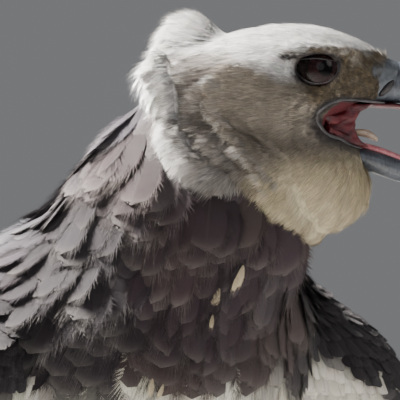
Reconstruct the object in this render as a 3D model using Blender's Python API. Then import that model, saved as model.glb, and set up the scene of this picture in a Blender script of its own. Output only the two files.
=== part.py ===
"""Life-size still model of a harpy eagle: the solids.

The bird stands on the floor with its bill open and its head turned to its left.
Metres, +Z up. The bill points along +X and the breast faces between +X and -Y.
Lengths inside the head are written in millimetres from the middle of the eyes.
"""

import math

import bmesh
import bpy
from mathutils import Matrix, Vector

# Driving sizes, in metres
EYE_HEIGHT = 0.770  # eyes above the floor
EYE_FORWARD = 0.0684  # eyes ahead of the frame that the head and neck are laid out in
BODY_TURN = math.radians(50)  # how far the breast is turned away from the bill
FEET_MIDDLE = Vector((-0.066, 0.083, 0))  # under the body, in the frame of the head
SEAM = 0.0004  # gap kept between two nodes that touch
MM = 0.001

# Plumage and bare parts
EYE_RADIUS = 0.0135
LID_POINTS = 12
EYE_SPREAD = 0.0282  # from the midline to the eyeball's centre
VANE_THICK = 0.0006
RIB_THICK = 0.0011
TAIL_LENGTH = 0.40
TAIL_DROP = math.radians(37)
TAIL_FEATHERS = 12
LEG_SPREAD = 0.078  # each foot from the midline
TOE_RADIUS = 0.0122

FORWARD = Vector((math.cos(BODY_TURN), -math.sin(BODY_TURN), 0))
LEFT = Vector((math.sin(BODY_TURN), math.cos(BODY_TURN), 0))
UP = Vector((0, 0, 1))
SIDES = {"left": 1, "right": -1}


def clear_scene():
    for old in list(bpy.data.objects):
        bpy.data.objects.remove(old, do_unlink=True)


def material(name, colour, roughness, metallic=0.0):
    """The named finish, made once."""
    found = bpy.data.materials.get(name)
    if found:
        return found
    made = bpy.data.materials.new(name)
    made.use_nodes = True
    shader = made.node_tree.nodes["Principled BSDF"]
    shader.inputs["Base Color"].default_value = (*colour, 1)
    shader.inputs["Roughness"].default_value = roughness
    shader.inputs["Metallic"].default_value = metallic
    made.diffuse_color = (*colour, 1)
    return made


FINISHES = {
    "pale_plumage": ((0.60, 0.58, 0.55), 0.85),
    "slate_plumage": ((0.060, 0.055, 0.062), 0.70),
    "white_plumage": ((0.78, 0.74, 0.66), 0.85),
    "barred_plumage": ((0.30, 0.28, 0.26), 0.75),
    "cere_skin": ((0.12, 0.14, 0.16), 0.45),
    "bill_horn": ((0.10, 0.12, 0.15), 0.35),
    "mouth_skin": ((0.45, 0.05, 0.06), 0.35),
    "eye": ((0.03, 0.02, 0.02), 0.08),
    "leg_scale": ((0.62, 0.50, 0.16), 0.55),
    "claw_horn": ((0.02, 0.02, 0.022), 0.30),
}


def body(x, y, z):
    """A point given ahead of, left of and above the feet."""
    return FEET_MIDDLE + FORWARD * x + LEFT * y + UP * z


def head(x, y, z):
    """A point of the head, in millimetres ahead of, left of and above the middle of the eyes."""
    return Vector((EYE_FORWARD + x * MM, y * MM, EYE_HEIGHT + z * MM))


def spline(rows, count):
    """Rows of numbers read at count even steps along a smooth curve through them."""
    out = []
    last = len(rows) - 1
    for step in range(count):
        place = step * last / (count - 1)
        i = min(int(place), last - 1)
        t = place - i
        before, start, end, after = (
            rows[max(i - 1, 0)],
            rows[i],
            rows[i + 1],
            rows[min(i + 2, last)],
        )
        out.append(
            tuple(
                0.5
                * (
                    2 * b
                    + (c - a) * t
                    + (2 * a - 5 * b + 4 * c - d) * t * t
                    + (3 * b - a - 3 * c + d) * t**3
                )
                for a, b, c, d in zip(before, start, end, after)
            )
        )
    return out


def solid(name, rings):
    """A closed mesh object through rings of points, with flat ends and its sides in triangles."""
    mesh = bmesh.new()
    rows = [[mesh.verts.new(p) for p in ring] for ring in rings]
    for low, high in zip(rows, rows[1:]):
        for k in range(len(low)):
            nxt = (k + 1) % len(low)
            mesh.faces.new((low[k], low[nxt], high[nxt]))
            mesh.faces.new((low[k], high[nxt], high[k]))
    mesh.faces.new(rows[0])
    mesh.faces.new(rows[-1])
    bmesh.ops.recalc_face_normals(mesh, faces=mesh.faces)
    data = bpy.data.meshes.new(name)
    mesh.to_mesh(data)
    mesh.free()
    made = bpy.data.objects.new(name, data)
    bpy.context.scene.collection.objects.link(made)
    return made


def egg(centre, across, upward, half_width, rise, fall, sides):
    """A ring that reaches rise above its centre and fall below it."""
    points = []
    for k in range(sides):
        turn = 2 * math.pi * (k + 0.5) / sides
        height = rise if math.cos(turn) > 0 else fall
        points.append(
            centre
            + across * half_width * math.sin(turn)
            + upward * height * math.cos(turn)
        )
    return points


def tube(name, path, radii, sides, floor=None, flat=1.0):
    """A round limb along a path. A floor level flattens its underside, and flat squeezes its height."""
    rings = []
    across = None
    for i, here in enumerate(path):
        ahead = path[min(i + 1, len(path) - 1)] - path[max(i - 1, 0)]
        ahead.normalize()
        if across is None:
            across = ahead.cross(UP if abs(ahead.z) < 0.9 else FORWARD)
        across = (across - ahead * across.dot(ahead)).normalized()
        upward = across.cross(ahead)
        height = radii[i] * flat
        ring = egg(here, across, upward, radii[i], height, height, sides)
        if floor is not None:
            ring = [Vector((p.x, p.y, max(p.z, floor))) for p in ring]
        rings.append(ring)
    return solid(name, rings)


def limb(name, rows, count, place, sides, floor=None, flat=1.0):
    """A tube through rows of (x, y, z, radius), each point put in its place."""
    read = spline(rows, count)
    path = [place(*row[:3]) for row in read]
    return tube(name, path, [row[3] for row in read], sides, floor, flat)


def vane(name, root, tip, outward, width, sag=0.0, tilt=0.0, segments=3, blunt=0.75):
    """One feather's vane from root to tip: thin, ribbed along its middle, widest past half way.

    outward is the side that shows, sag lifts the middle that way and tilt turns it about its own length.
    """
    along = tip - root
    length = along.length
    along.normalize()
    outward = (outward - along * outward.dot(along)).normalized()
    across = along.cross(outward).normalized()
    rings = []
    for i in range(segments + 1):
        t = i / segments
        middle = root + along * (length * t) + outward * (sag * 4 * t * (1 - t))
        swell = 0.42 + 0.58 * math.sin(math.pi * min(t / blunt, 1.0) / 2)
        close = math.sqrt(max(0.0, 1 - ((t - blunt) / (1 - blunt)) ** 2)) if t > blunt else 1.0
        half = 0.5 * width * swell * max(close, 0.30)
        turned = tilt * min(1.0, 0.3 + t)
        side = across * math.cos(turned) + outward * math.sin(turned)
        over = outward * math.cos(turned) - across * math.sin(turned)
        edge = over * (-0.04 * half)  # the vane curves down to its edges
        thin = over * (VANE_THICK / 2)
        rib = over * (RIB_THICK - VANE_THICK / 2)
        rings.append(
            [
                middle + side * half + edge + thin,
                middle + rib,
                middle - side * half + edge + thin,
                middle - side * half + edge - thin,
                middle + side * half + edge - thin,
            ]
        )
    return solid(name, rings)


def grown(made, amount=SEAM):
    """A piece swollen by a gap's width, to cut its neighbour with."""
    mesh = bmesh.new()
    mesh.from_mesh(made.data)
    mesh.normal_update()
    moved = [(v, v.co + v.normal * amount * min(v.calc_shell_factor(), 2.5)) for v in mesh.verts]
    for vert, place in moved:
        vert.co = place
    mesh.to_mesh(made.data)
    mesh.free()
    return made


def in_collection(pieces):
    group = bpy.data.collections.new("pieces")
    bpy.context.scene.collection.children.link(group)
    for piece in pieces:
        bpy.context.scene.collection.objects.unlink(piece)
        group.objects.link(piece)
    return group


def apply_boolean(made, operation, group):
    """Runs one Boolean of a collection on an object, applies it and removes the collection's objects."""
    step = made.modifiers.new(operation.lower(), "BOOLEAN")
    step.operation = operation
    step.operand_type = "COLLECTION"
    step.collection = group
    step.solver = "MANIFOLD"
    graph = bpy.context.evaluated_depsgraph_get()
    result = bpy.data.meshes.new_from_object(made.evaluated_get(graph))
    made.modifiers.clear()
    made.data = result
    for piece in list(group.objects):
        bpy.data.objects.remove(piece, do_unlink=True)
    bpy.data.collections.remove(group)


def unite(name, pieces):
    """One node from closed pieces that run into each other."""
    made = pieces[0]
    made.name = name
    if len(pieces) > 1:
        apply_boolean(made, "UNION", in_collection(pieces[1:]))
    return made


def cut(made, cutters):
    """Takes the cutters out of a node, one after another."""
    for cutter in cutters:
        apply_boolean(made, "DIFFERENCE", in_collection([cutter]))
    return made


def keep_largest(made):
    """Leaves only the largest closed surface of a node."""
    mesh = bmesh.new()
    mesh.from_mesh(made.data)
    bmesh.ops.remove_doubles(mesh, verts=mesh.verts, dist=2e-6)
    bmesh.ops.triangulate(mesh, faces=mesh.faces)
    left = set(mesh.faces)
    shells = []
    while left:
        shell, edge = set(), [left.pop()]
        while edge:
            face = edge.pop()
            shell.add(face)
            for line in face.edges:
                for other in line.link_faces:
                    if other in left:
                        left.discard(other)
                        edge.append(other)
        volume = sum(
            f.verts[0].co.dot(f.verts[1].co.cross(f.verts[2].co)) / 6 for f in shell
        )
        shells.append((abs(volume), shell))
    largest = max(shells, key=lambda item: item[0])[1]
    spare = [f for f in mesh.faces if f not in largest]
    bmesh.ops.delete(mesh, geom=spare, context="FACES")
    loose = [v for v in mesh.verts if not v.link_faces]
    bmesh.ops.delete(mesh, geom=loose, context="VERTS")
    mesh.to_mesh(made.data)
    mesh.free()
    return made


def finish(made, finish_name):
    """Cleans a node and gives it its finish."""
    keep_largest(made)
    made.data.materials.clear()
    made.data.materials.append(material(finish_name, *FINISHES[finish_name]))
    made.data.shade_smooth()
    made.data.set_sharp_from_angle(angle=math.radians(40))
    return made


# Torso

# ahead, height, half width, reach up the back, reach down the breast and belly, along a level-to-sloping spine
TORSO = [
    (-0.262, 0.382, 0.020, 0.012, 0.014),
    (-0.225, 0.404, 0.056, 0.036, 0.048),
    (-0.160, 0.448, 0.092, 0.062, 0.094),
    (-0.088, 0.500, 0.116, 0.088, 0.124),
    (-0.016, 0.552, 0.128, 0.106, 0.126),
    (0.042, 0.600, 0.124, 0.108, 0.106),
    (0.078, 0.644, 0.104, 0.094, 0.084),
    (0.096, 0.674, 0.070, 0.064, 0.058),
]


def torso_piece():
    rows = spline(TORSO, 13)
    rings = []
    for i, (x, z, half, rise, fall) in enumerate(rows):
        before, after = rows[max(i - 1, 0)], rows[min(i + 1, len(rows) - 1)]
        slope = math.atan2(after[1] - before[1], after[0] - before[0])
        upward = UP * math.cos(slope) - FORWARD * math.sin(slope)
        rings.append(egg(body(x, 0, z), LEFT, upward, half, rise, fall, 18))
    return solid("torso", rings)


# Neck: x, y, height of the middle, half length of the ring, half depth, tilt in degrees
NECK = [
    (-0.026, 0.022, 0.628, 0.076, 0.070, 10),
    (-0.015, 0.012, 0.662, 0.080, 0.074, 12),
    (0.001, 0.006, 0.689, 0.079, 0.068, 18),
    (0.012, 0.002, 0.708, 0.075, 0.060, 22),
    (0.025, 0.0, 0.730, 0.066, 0.048, 27),
]


def neck_piece():
    rings = []
    for x, y, z, half, depth, tilt in spline(NECK, 7):
        turn = math.radians(tilt)
        along = Vector((math.cos(turn), 0, -math.sin(turn)))
        rings.append(
            egg(Vector((x, y, z)), Vector((0, 1, 0)), along, depth, half, half, 16)
        )
    return solid("neck", rings)


# Head

# ahead of the eye, top, bottom, half width, all in millimetres
CRANIUM = [
    (-105, 4, -18, 10),
    (-99, 14, -34, 29),
    (-86, 20, -52, 42),
    (-66, 22, -63, 48.5),
    (-44, 26, -66, 50),
    (-22, 29.7, -60, 48),
    (-4, 29.2, -47, 43),
    (10, 26.8, -34, 36),
    (24, 22.2, -24, 27.5),
    (36, 16.0, -21, 20),
    (45.5, 8.6, -20, 14.5),
]
THROAT = [
    (-74, -42, -62, 10),
    (-60, -32, -80, 30),
    (-40, -26, -93, 40),
    (-20, -24, -100, 43),
    (0, -28, -101, 41),
    (16, -36, -97, 35),
    (27, -46, -89, 25),
    (33.8, -62, -79, 9),
]
WIDEST = -9  # the height of the head's widest line, in millimetres
GAPE_CORNER = (0.8, -28.2)
GAPE_UPPER = [(4.8, -22.8), (14.4, -18.9), (27.6, -18.9), (39.0, -20.0)]
GAPE_LOWER = [(3.0, -34.5), (8.2, -39.0), (14.6, -41.0), (21.0, -44.3), (29.0, -46.6)]


def head_loft(name, rows, count, middle, sides):
    rings = []
    for x, top, bottom, half in spline(rows, count):
        level = middle if middle is not None else (top + bottom) / 2
        level = min(max(level, bottom + 4), top - 4)
        rings.append(
            egg(
                head(x, 0, level),
                Vector((0, -1, 0)),
                UP,
                half * MM,
                (top - level) * MM,
                (level - bottom) * MM,
                sides,
            )
        )
    return solid(name, rings)


def cranium_piece():
    return head_loft("cranium", CRANIUM, 15, WIDEST, 18)


def throat_piece():
    return head_loft("throat", THROAT, 9, None, 14)


def half_width_at(rows, x, z):
    """The half width of a head loft at a height, in millimetres."""
    for (x0, t0, b0, w0), (x1, t1, b1, w1) in zip(rows, rows[1:]):
        if x0 <= x <= x1:
            share = (x - x0) / (x1 - x0)
            top, bottom, half = (
                a + (b - a) * share for a, b in ((t0, t1), (b0, b1), (w0, w1))
            )
            level = min(max(WIDEST, bottom + 4), top - 4)
            reach = top - level if z > level else level - bottom
            return half * math.sqrt(max(0.02, 1 - ((z - level) / reach) ** 2))
    return 0.0


def prism(name, outline, near, far):
    """A plate with this side outline, from near to far across the head, in millimetres."""
    return solid(name, [[head(x, y, z) for x, z in outline] for y in (near, far)])


def mouth_opening():
    ahead = 78
    lower = [*GAPE_LOWER, (ahead, -64)]
    upper = [(ahead, -20.5), *reversed(GAPE_UPPER)]
    return prism("mouth_opening", [GAPE_CORNER, *lower, *upper], -60, 60)


def mouth_piece():
    """The red lining that closes the mouth between the two gape corners."""
    outline = [
        (3.2, -28.2),
        (5.2, -33.4),
        (9.0, -38.3),
        (21.0, -43.6),
        (30.0, -45.8),
        (28.0, -36.0),
        (29.0, -27.0),
        (32.0, -19.6),
        (15.0, -19.6),
        (6.4, -23.4),
    ]
    return prism("mouth", outline, -15, 15)


def eyeball(side):
    """Rings about the axis that the eye looks along, a little ahead of straight out."""
    look = Vector((math.sin(math.radians(22)), side * math.cos(math.radians(22)), 0))
    across = look.cross(UP).normalized()
    middle = head(0, side * EYE_SPREAD / MM, 0)
    rings = []
    for step in range(8):
        turn = math.pi * (step + 0.5) / 8
        radius = EYE_RADIUS * math.sin(turn)
        reach = -math.cos(turn) * EYE_RADIUS * (1.06 if step > 3 else 1.0)
        rings.append(egg(middle + look * reach, across, UP, radius, radius, radius, 12))
    return solid("eye", rings)


def lid_piece(side):
    """The rim of the lids: an almond ring that the brow flattens above."""
    path = []
    for k in range(LID_POINTS + 1):
        turn = 2 * math.pi * k / LID_POINTS
        x = 13.0 * math.cos(turn)
        z = 9.6 * math.sin(turn)
        z = min(z, 8.0)
        y = EYE_SPREAD / MM + 11.4 - 0.055 * x * x / 2 + 0.02 * x
        path.append((x, side * y, z))
    rings = []
    for k in range(LID_POINTS):
        here = head(*path[k])
        along = head(*path[(k + 1) % LID_POINTS]) - head(*path[(k - 1) % LID_POINTS])
        along.normalize()
        out = Vector((0, side, 0))
        over = along.cross(out).normalized()
        rings.append(egg(here, over, out, 1.7 * MM, 1.5 * MM, 3.0 * MM, 5))
    mesh = bmesh.new()
    rows = [[mesh.verts.new(p) for p in ring] for ring in rings]
    for i, low in enumerate(rows):
        high = rows[(i + 1) % len(rows)]
        for k in range(len(low)):
            nxt = (k + 1) % len(low)
            mesh.faces.new((low[k], low[nxt], high[nxt], high[k]))
    bmesh.ops.recalc_face_normals(mesh, faces=mesh.faces)
    data = bpy.data.meshes.new("lid")
    mesh.to_mesh(data)
    mesh.free()
    made = bpy.data.objects.new("lid", data)
    bpy.context.scene.collection.objects.link(made)
    return made


def brow_piece(side):
    """The ridge that overhangs each eye."""
    rows = [
        (-20, 36, 12, 0.0030),
        (-10, 38.5, 12.4, 0.0052),
        (4, 37.5, 12.0, 0.0058),
        (17, 30.5, 11.0, 0.0052),
        (29, 21.5, 9.0, 0.0030),
    ]
    rows = [(x, side * y, z, r) for x, y, z, r in rows]
    return limb("brow", rows, 6, head, 8, flat=0.62)


def lore_hollow(side):
    """The hollow between eye and bill, under the ridge."""
    rows = [(6, 48, -6, 0.0060), (17, 38, -4, 0.0100), (30, 29, -5, 0.0060)]
    rows = [(x, side * y, z, r) for x, y, z, r in rows]
    return limb("hollow", rows, 5, head, 8)


def lip_piece(side):
    """The bare flange along both edges of the open gape."""
    points = []
    for x, z in reversed(GAPE_UPPER):
        points.append((x, half_width_at(CRANIUM, x, z + 2.5), z + 1.2))
    x, z = GAPE_CORNER
    points.append((x - 0.8, 31.5, z))
    for x, z in GAPE_LOWER[1:]:
        points.append((x, 30.5 - 0.62 * x, z - 1.2))
    rows = [(x, side * y, z, 0.0019) for x, y, z in points]
    return limb("lip", rows, 14, head, 5)


# root ahead and above, tip ahead and above, for each tier of the crest
CREST = [(-56, 14, -79, 37), (-67, 10, -92, 30), (-77, 3, -104, 16), (-84, -8, -112, -5)]
CREST_IN_TIER = 3  # feathers a side


def crest_vanes():
    """Crest feathers in tiers: the front ones stand up and the hind ones hang down the nape."""
    made = []
    for side in SIDES.values():
        for tier, (ahead, above, tip_ahead, tip_above) in enumerate(CREST):
            for k in range(CREST_IN_TIER):
                out = 5.5 + 11.5 * k
                lap = 0.7 * side  # the left feather of the middle pair lies over the right one
                root = head(ahead + 1.6 * k, side * out * 0.80, above - 0.9 * k * k + lap)
                tip = head(tip_ahead + 3.0 * k, side * out, tip_above - 1.8 * k * k + lap)
                lie = tip - root
                outward = Vector((lie.z, side * 0.017 * k, -lie.x))
                made.append(
                    vane("crest_vane", root, tip, outward, 0.0185, segments=2)
                )
    return made


def half_space(name, point, normal, reach=0.3):
    """A large block on the far side of a plane, for parting two nodes."""
    normal = normal.normalized()
    across = normal.cross(Vector((0, 1, 0))).normalized()
    second = normal.cross(across)
    ring = [
        point + across * reach * a + second * reach * b
        for a, b in ((1, 1), (-1, 1), (-1, -1), (1, -1))
    ]
    return solid(name, [ring, [p + normal * reach for p in ring]])


def build_head():
    crest_point = head(-54, 0, 20)
    crest_normal = Vector((-0.52, 0, 0.85)).normalized()
    whole = [cranium_piece(), throat_piece()]
    for side in SIDES.values():
        whole.append(brow_piece(side))
    made = unite("head", whole)
    cut(made, [lore_hollow(side) for side in SIDES.values()])
    cut(made, [mouth_opening()])
    trim = [made]
    for side in SIDES.values():
        trim += [lip_piece(side), lid_piece(side)]
    made = unite("head", trim)
    cut(made, [grown(eyeball(side)) for side in SIDES.values()])
    cut(made, [grown(mouth_piece())])
    cut(made, [half_space("parting", crest_point, crest_normal)])
    finish(made, "pale_plumage")
    crest = cranium_piece()
    cut(crest, [half_space("parting", crest_point + crest_normal * SEAM, -crest_normal)])
    crest = unite("crest", [crest, *crest_vanes()])
    cut(crest, [half_space("parting", crest_point + crest_normal * SEAM, -crest_normal)])
    finish(crest, "pale_plumage")
    for name, side in SIDES.items():
        finish(unite("eye_" + name, [eyeball(side)]), "eye")
    finish(unite("mouth_lining", [mouth_piece()]), "mouth_skin")


# Bill: x, height and half width in millimetres, with the reach above and below the spine

CERE = [(36, -6, 14.0, 14.5, 13.5), (42, -6.2, 14.6, 14.3, 13.6), (48.5, -6.6, 13.4, 13.2, 12.4)]
UPPER_BILL = [
    (45, -6.8, 12.9, 12.8, 12.2),
    (55, -6.6, 12.2, 13.0, 12.8),
    (63.5, -9.4, 10.0, 12.2, 12.0),
    (69.5, -16.6, 7.2, 9.0, 9.0),
    (71.8, -27, 4.4, 5.6, 5.6),
    (70.0, -41, 0.9, 0.9, 0.9),
]
LOWER_BILL = [
    (17, -49.5, 13.0, 5.6, 7.0),
    (34, -53.2, 11.6, 6.2, 7.8),
    (50, -58.8, 9.6, 6.4, 7.8),
    (62, -64.6, 6.6, 5.0, 5.6),
    (69.5, -69.0, 2.2, 1.4, 1.6),
]
TONGUE = [(27, -44.6, 5.6, 2.0, 2.6), (38, -47.8, 6.6, 2.6, 2.8), (51, -52.6, 5.4, 2.4, 2.6), (60, -56.6, 2.2, 1.0, 1.2)]


def bill_loft(name, rows, count, sides, lean=None):
    """A bill part along its own spine. lean sets the rings' slope, or they stand square to the spine."""
    read = spline(rows, count)
    rings = []
    for i, (x, z, half, rise, fall) in enumerate(read):
        before, after = read[max(i - 1, 0)], read[min(i + 1, len(read) - 1)]
        slope = math.atan2(after[1] - before[1], after[0] - before[0]) if lean is None else lean
        upward = Vector((-math.sin(slope), 0, math.cos(slope)))
        rings.append(
            egg(
                head(x, 0, z),
                Vector((0, -1, 0)),
                upward,
                half * MM,
                rise * MM,
                fall * MM,
                sides,
            )
        )
    return solid(name, rings)


def cere_piece():
    return bill_loft("cere", CERE, 6, 18, lean=math.radians(-13))


def upper_bill_piece():
    return bill_loft("bill_upper", UPPER_BILL, 12, 14)


def lower_bill_piece():
    return bill_loft("bill_lower", LOWER_BILL, 8, 12)


def tongue_piece():
    return bill_loft("tongue", TONGUE, 7, 10)


def nostril(side):
    """A slanting slit through each side of the cere."""
    rows = [(40.6, side * 16, -13.6, 0.0011), (43.6, side * 15, -10.4, 0.0019), (46.6, side * 14, -7.2, 0.0011)]
    return limb("nostril", rows, 5, head, 8)


def build_bill():
    cere = unite("cere", [cere_piece()])
    cut(cere, [grown(cranium_piece()), *(nostril(side) for side in SIDES.values())])
    finish(cere, "cere_skin")
    finish(cut(unite("bill_upper", [upper_bill_piece()]), [grown(cere_piece()), grown(cranium_piece())]), "bill_horn")
    lower = unite("bill_lower", [lower_bill_piece()])
    cut(lower, [grown(throat_piece()), grown(cranium_piece()), grown(tongue_piece()), grown(mouth_piece())])
    cut(lower, [grown(lip_cutter(side)) for side in SIDES.values()])
    finish(lower, "bill_horn")
    tongue = unite("tongue", [tongue_piece()])
    cut(tongue, [grown(mouth_piece()), grown(throat_piece())])
    finish(tongue, "mouth_skin")


def lip_cutter(side):
    """Keeps the lower bill clear of the lip that runs along it."""
    rows = [(x, side * (30.5 - 0.62 * x), z - 1.2, 0.0019) for x, z in GAPE_LOWER[1:]]
    rows.append((rows[-1][0] + 1.2, *rows[-1][1:]))
    return limb("lip_cutter", rows, 9, head, 6)


# Legs, in metres from the middle of the feet

FOOT_AHEAD = -0.012
THIGH = [
    (-0.060, 0.070, 0.480, 0.056),
    (-0.040, 0.084, 0.405, 0.068),
    (-0.028, 0.087, 0.330, 0.063),
    (-0.036, 0.084, 0.260, 0.049),
    (-0.050, 0.080, 0.200, 0.034),
    (-0.058, 0.078, 0.156, 0.023),
]
TARSUS = [
    (-0.060, 0.078, 0.190, 0.0150),
    (-0.059, 0.078, 0.156, 0.0160),
    (-0.045, 0.078, 0.120, 0.0138),
    (-0.029, 0.078, 0.080, 0.0138),
    (-0.014, 0.078, 0.042, 0.0168),
    (-0.010, 0.078, 0.021, 0.0150),
]
# toe: bearing from straight ahead towards the outside in degrees, length of toe, chord of claw
TOES = {
    "hallux": (192, 0.052, 0.050),
    "inner": (-34, 0.062, 0.040),
    "middle": (4, 0.084, 0.034),
    "outer": (42, 0.064, 0.028),
}


def thigh_piece(side):
    rows = [(x, side * y, z, r) for x, y, z, r in THIGH]
    return limb("thigh", rows, 9, body, 14)


def tarsus_piece(side):
    rows = [(x, side * y, z, r) for x, y, z, r in TARSUS]
    return limb("tarsus", rows, 9, body, 10, floor=0.004)


def toe_direction(side, bearing):
    turn = math.radians(bearing)
    return FORWARD * math.cos(turn) + LEFT * side * math.sin(turn)


def toe_piece(side, bearing, length):
    foot = body(FOOT_AHEAD, side * LEG_SPREAD, 0)
    way = toe_direction(side, bearing)
    r = TOE_RADIUS
    stations = [
        (0.002, 0.022, 1.10),
        (0.30, 0.0155, 1.05),
        (0.46, 0.0112, 0.98),
        (0.60, 0.0106, 1.06),
        (0.80, 0.0106, 0.94),
        (1.00, 0.0115, 0.78),
    ]
    path = [foot + way * (length * t) + UP * z for t, z, _ in stations]
    radii = [r * share for _, _, share in stations]
    return tube("toe", path, radii, 8, floor=0.0)


def claw_piece(side, bearing, length, chord):
    """A talon that rises from the toe's end and hooks down to just above the floor."""
    foot = body(FOOT_AHEAD, side * LEG_SPREAD, 0)
    way = toe_direction(side, bearing)
    path, radii = [], []
    steps = 7
    for i in range(steps):
        t = i / (steps - 1)
        reach = length - 0.006 + chord * math.sin(t * math.pi * 0.52)
        height = 0.0125 + 0.30 * chord * math.sin(math.pi * min(1.0, t * 1.25)) - (0.0105 * t**2)
        path.append(foot + way * reach + UP * height)
        radii.append(0.0078 * (1 - t) ** 0.75 + 0.0009)
    return tube("claw", path, radii, 7, flat=1.1)


def build_leg(name, side):
    thigh = cut(unite("thigh_" + name, [thigh_piece(side)]), [grown(torso_piece())])
    finish(thigh, "barred_plumage")
    tarsus = cut(unite("tarsus_" + name, [tarsus_piece(side)]), [grown(thigh_piece(side))])
    finish(tarsus, "leg_scale")
    done = []
    for toe, (bearing, length, chord) in TOES.items():
        made = unite("toe_" + toe + "_" + name, [toe_piece(side, bearing, length)])
        cutters = [grown(tarsus_piece(side))]
        cutters += [grown(toe_piece(side, *other)) for other in done]
        finish(cut(made, cutters), "leg_scale")
        done.append((bearing, length))
        claw = unite("claw_" + toe + "_" + name, [claw_piece(side, bearing, length, chord)])
        finish(cut(claw, [grown(toe_piece(side, bearing, length))]), "claw_horn")


# Wings, folded and held a little away from the body

# ahead, out, height, half height, half thickness, from the wrist to the root of the flight feathers
WING = [
    (0.112, 0.170, 0.540, 0.014, 0.008),
    (0.096, 0.176, 0.545, 0.040, 0.020),
    (0.042, 0.172, 0.545, 0.066, 0.025),
    (-0.030, 0.156, 0.520, 0.082, 0.024),
    (-0.105, 0.128, 0.468, 0.078, 0.020),
    (-0.168, 0.102, 0.416, 0.062, 0.013),
    (-0.215, 0.086, 0.376, 0.036, 0.006),
]
ARM = [
    (-0.010, 0.040, 0.634, 0.034),
    (0.018, 0.070, 0.622, 0.040),
    (0.050, 0.106, 0.604, 0.042),
    (0.078, 0.144, 0.574, 0.038),
    (0.092, 0.168, 0.548, 0.026),
]
WING_TIP = (-0.365, 0.068, 0.318)
RIGHT_WING_BACK = 0.026  # the right wing is drawn further back than the left
WING_LEAN = math.radians(32)  # how far the wing's upper edge leans in over the back

# tier: share along the wing at the roots, lower and upper end, feathers, length and width
COVERTS = {
    "median": (0.20, -0.78, 0.84, 6, 0.088, 0.050),
    "greater": (0.42, -0.80, 0.80, 6, 0.122, 0.050),
}
COVERT_TILT = 0.115
SECONDARIES = 7
PRIMARIES = 6
SCAPULARS = 4
LAYER = 0.00125  # from one flight feather to the next below it


def wing_station(share):
    """Middle, outward and upward directions and half sizes of the folded wing at a share of its length."""
    place = share * (len(WING) - 1)
    i = min(int(place), len(WING) - 2)
    t = place - i
    x, y, z, half, thick = (a + (b - a) * t for a, b in zip(WING[i], WING[i + 1]))
    ahead = Vector(WING[i][:3]) - Vector(WING[i + 1][:3])
    ahead.normalize()
    outward = Vector((0, math.cos(WING_LEAN), math.sin(WING_LEAN)))
    outward = (outward - ahead * outward.dot(ahead)).normalized()
    upward = ahead.cross(outward)
    if upward.z < 0:
        upward.negate()
    return Vector((x, y, z)), outward, upward, half, thick


def wing_skin(share, level):
    """A point of the folded wing's outer face and the way that it faces."""
    middle, outward, upward, half, thick = wing_station(share)
    bulge = math.sqrt(max(0.0, 1 - level * level))
    facing = (outward * bulge * half + upward * level * thick).normalized()
    return middle + upward * half * level * 0.96 + outward * thick * bulge, facing


def place_side(side):
    """Turns a point or direction of the left wing into one of the model, on either side."""

    back = RIGHT_WING_BACK if side < 0 else 0.0

    def put(v):
        return body(v.x - back, side * v.y, v.z)

    def turn(v):
        return FORWARD * v.x + LEFT * side * v.y + UP * v.z

    return put, turn


def wing_vanes(side):
    """Coverts in two tiers, then the flight feathers in parallel layers, and the scapulars over the root."""
    put, turn = place_side(side)
    made = []
    for share, low, high, count, length, width in COVERTS.values():
        for k in range(count):
            level = low + (high - low) * k / (count - 1)
            root, facing = wing_skin(share, level)
            ahead, _ = wing_skin(min(1.0, share + length / 0.42), level * 0.9)
            end = root + (ahead - root).normalized() * length + facing * 0.0045
            root = root - facing * 0.0045
            made.append(
                vane("covert", put(root), put(end), turn(facing), width, 0.003, side * COVERT_TILT)
            )
    middle, outward, upward, half, _ = wing_station(0.74)
    way = (Vector(WING_TIP) - middle).normalized()
    outward = (outward - way * outward.dot(way)).normalized()
    upward = (upward - way * upward.dot(way)).normalized()
    length = (Vector(WING_TIP) - middle).length
    flight = SECONDARIES + PRIMARIES
    for k in range(flight):
        share = k / (flight - 1)
        secondary = k < SECONDARIES
        level = 0.72 - 1.40 * share
        root = middle + upward * half * level - outward * LAYER * (k - flight * 0.45)
        reach = length * (0.50 + 0.16 * share) if secondary else length * (0.76 + 0.24 * (share - 0.5) / 0.4)
        reach = min(reach, length)
        end = root + way * reach - upward * half * (0.10 + level * 0.62)
        made.append(
            vane(
                "flight",
                put(root),
                put(end),
                turn(outward),
                0.046 if secondary else 0.040,
                segments=3 if secondary else 4,
                blunt=0.78 if secondary else 0.86,
            )
        )
    for k in range(SCAPULARS):
        share = k / (SCAPULARS - 1)
        root, facing = wing_skin(0.14 + 0.34 * share, 0.90)
        root = root - facing * 0.004
        lift = turn(Vector((0, 0.45, 0.9)))
        end = root + way * 0.118 + Vector((0, -0.028 + 0.012 * share, 0.024 - 0.012 * share))
        made.append(vane("scapular", put(root), put(end), lift, 0.052, 0.006, side * 0.14))
    return made


def build_wing(name, side):
    put, turn = place_side(side)
    rings = []
    count = 10
    for k in range(count):
        middle, outward, upward, half, thick = wing_station(k / (count - 1))
        rings.append(egg(put(middle), turn(outward), turn(upward), thick, half, half, 12))
    core = solid("core", rings)
    arm = limb("arm", [(x, y, z, r) for x, y, z, r in ARM], 7, lambda *p: put(Vector(p)), 10)
    wing = unite("wing_" + name, [core, arm, *wing_vanes(side)])
    cut(wing, [grown(torso_piece()), grown(neck_piece()), grown(thigh_piece(side))])
    finish(wing, "slate_plumage")


# Tail

TAIL_ROOT = (-0.205, 0.392)
TAIL_FAN = math.radians(13)


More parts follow.
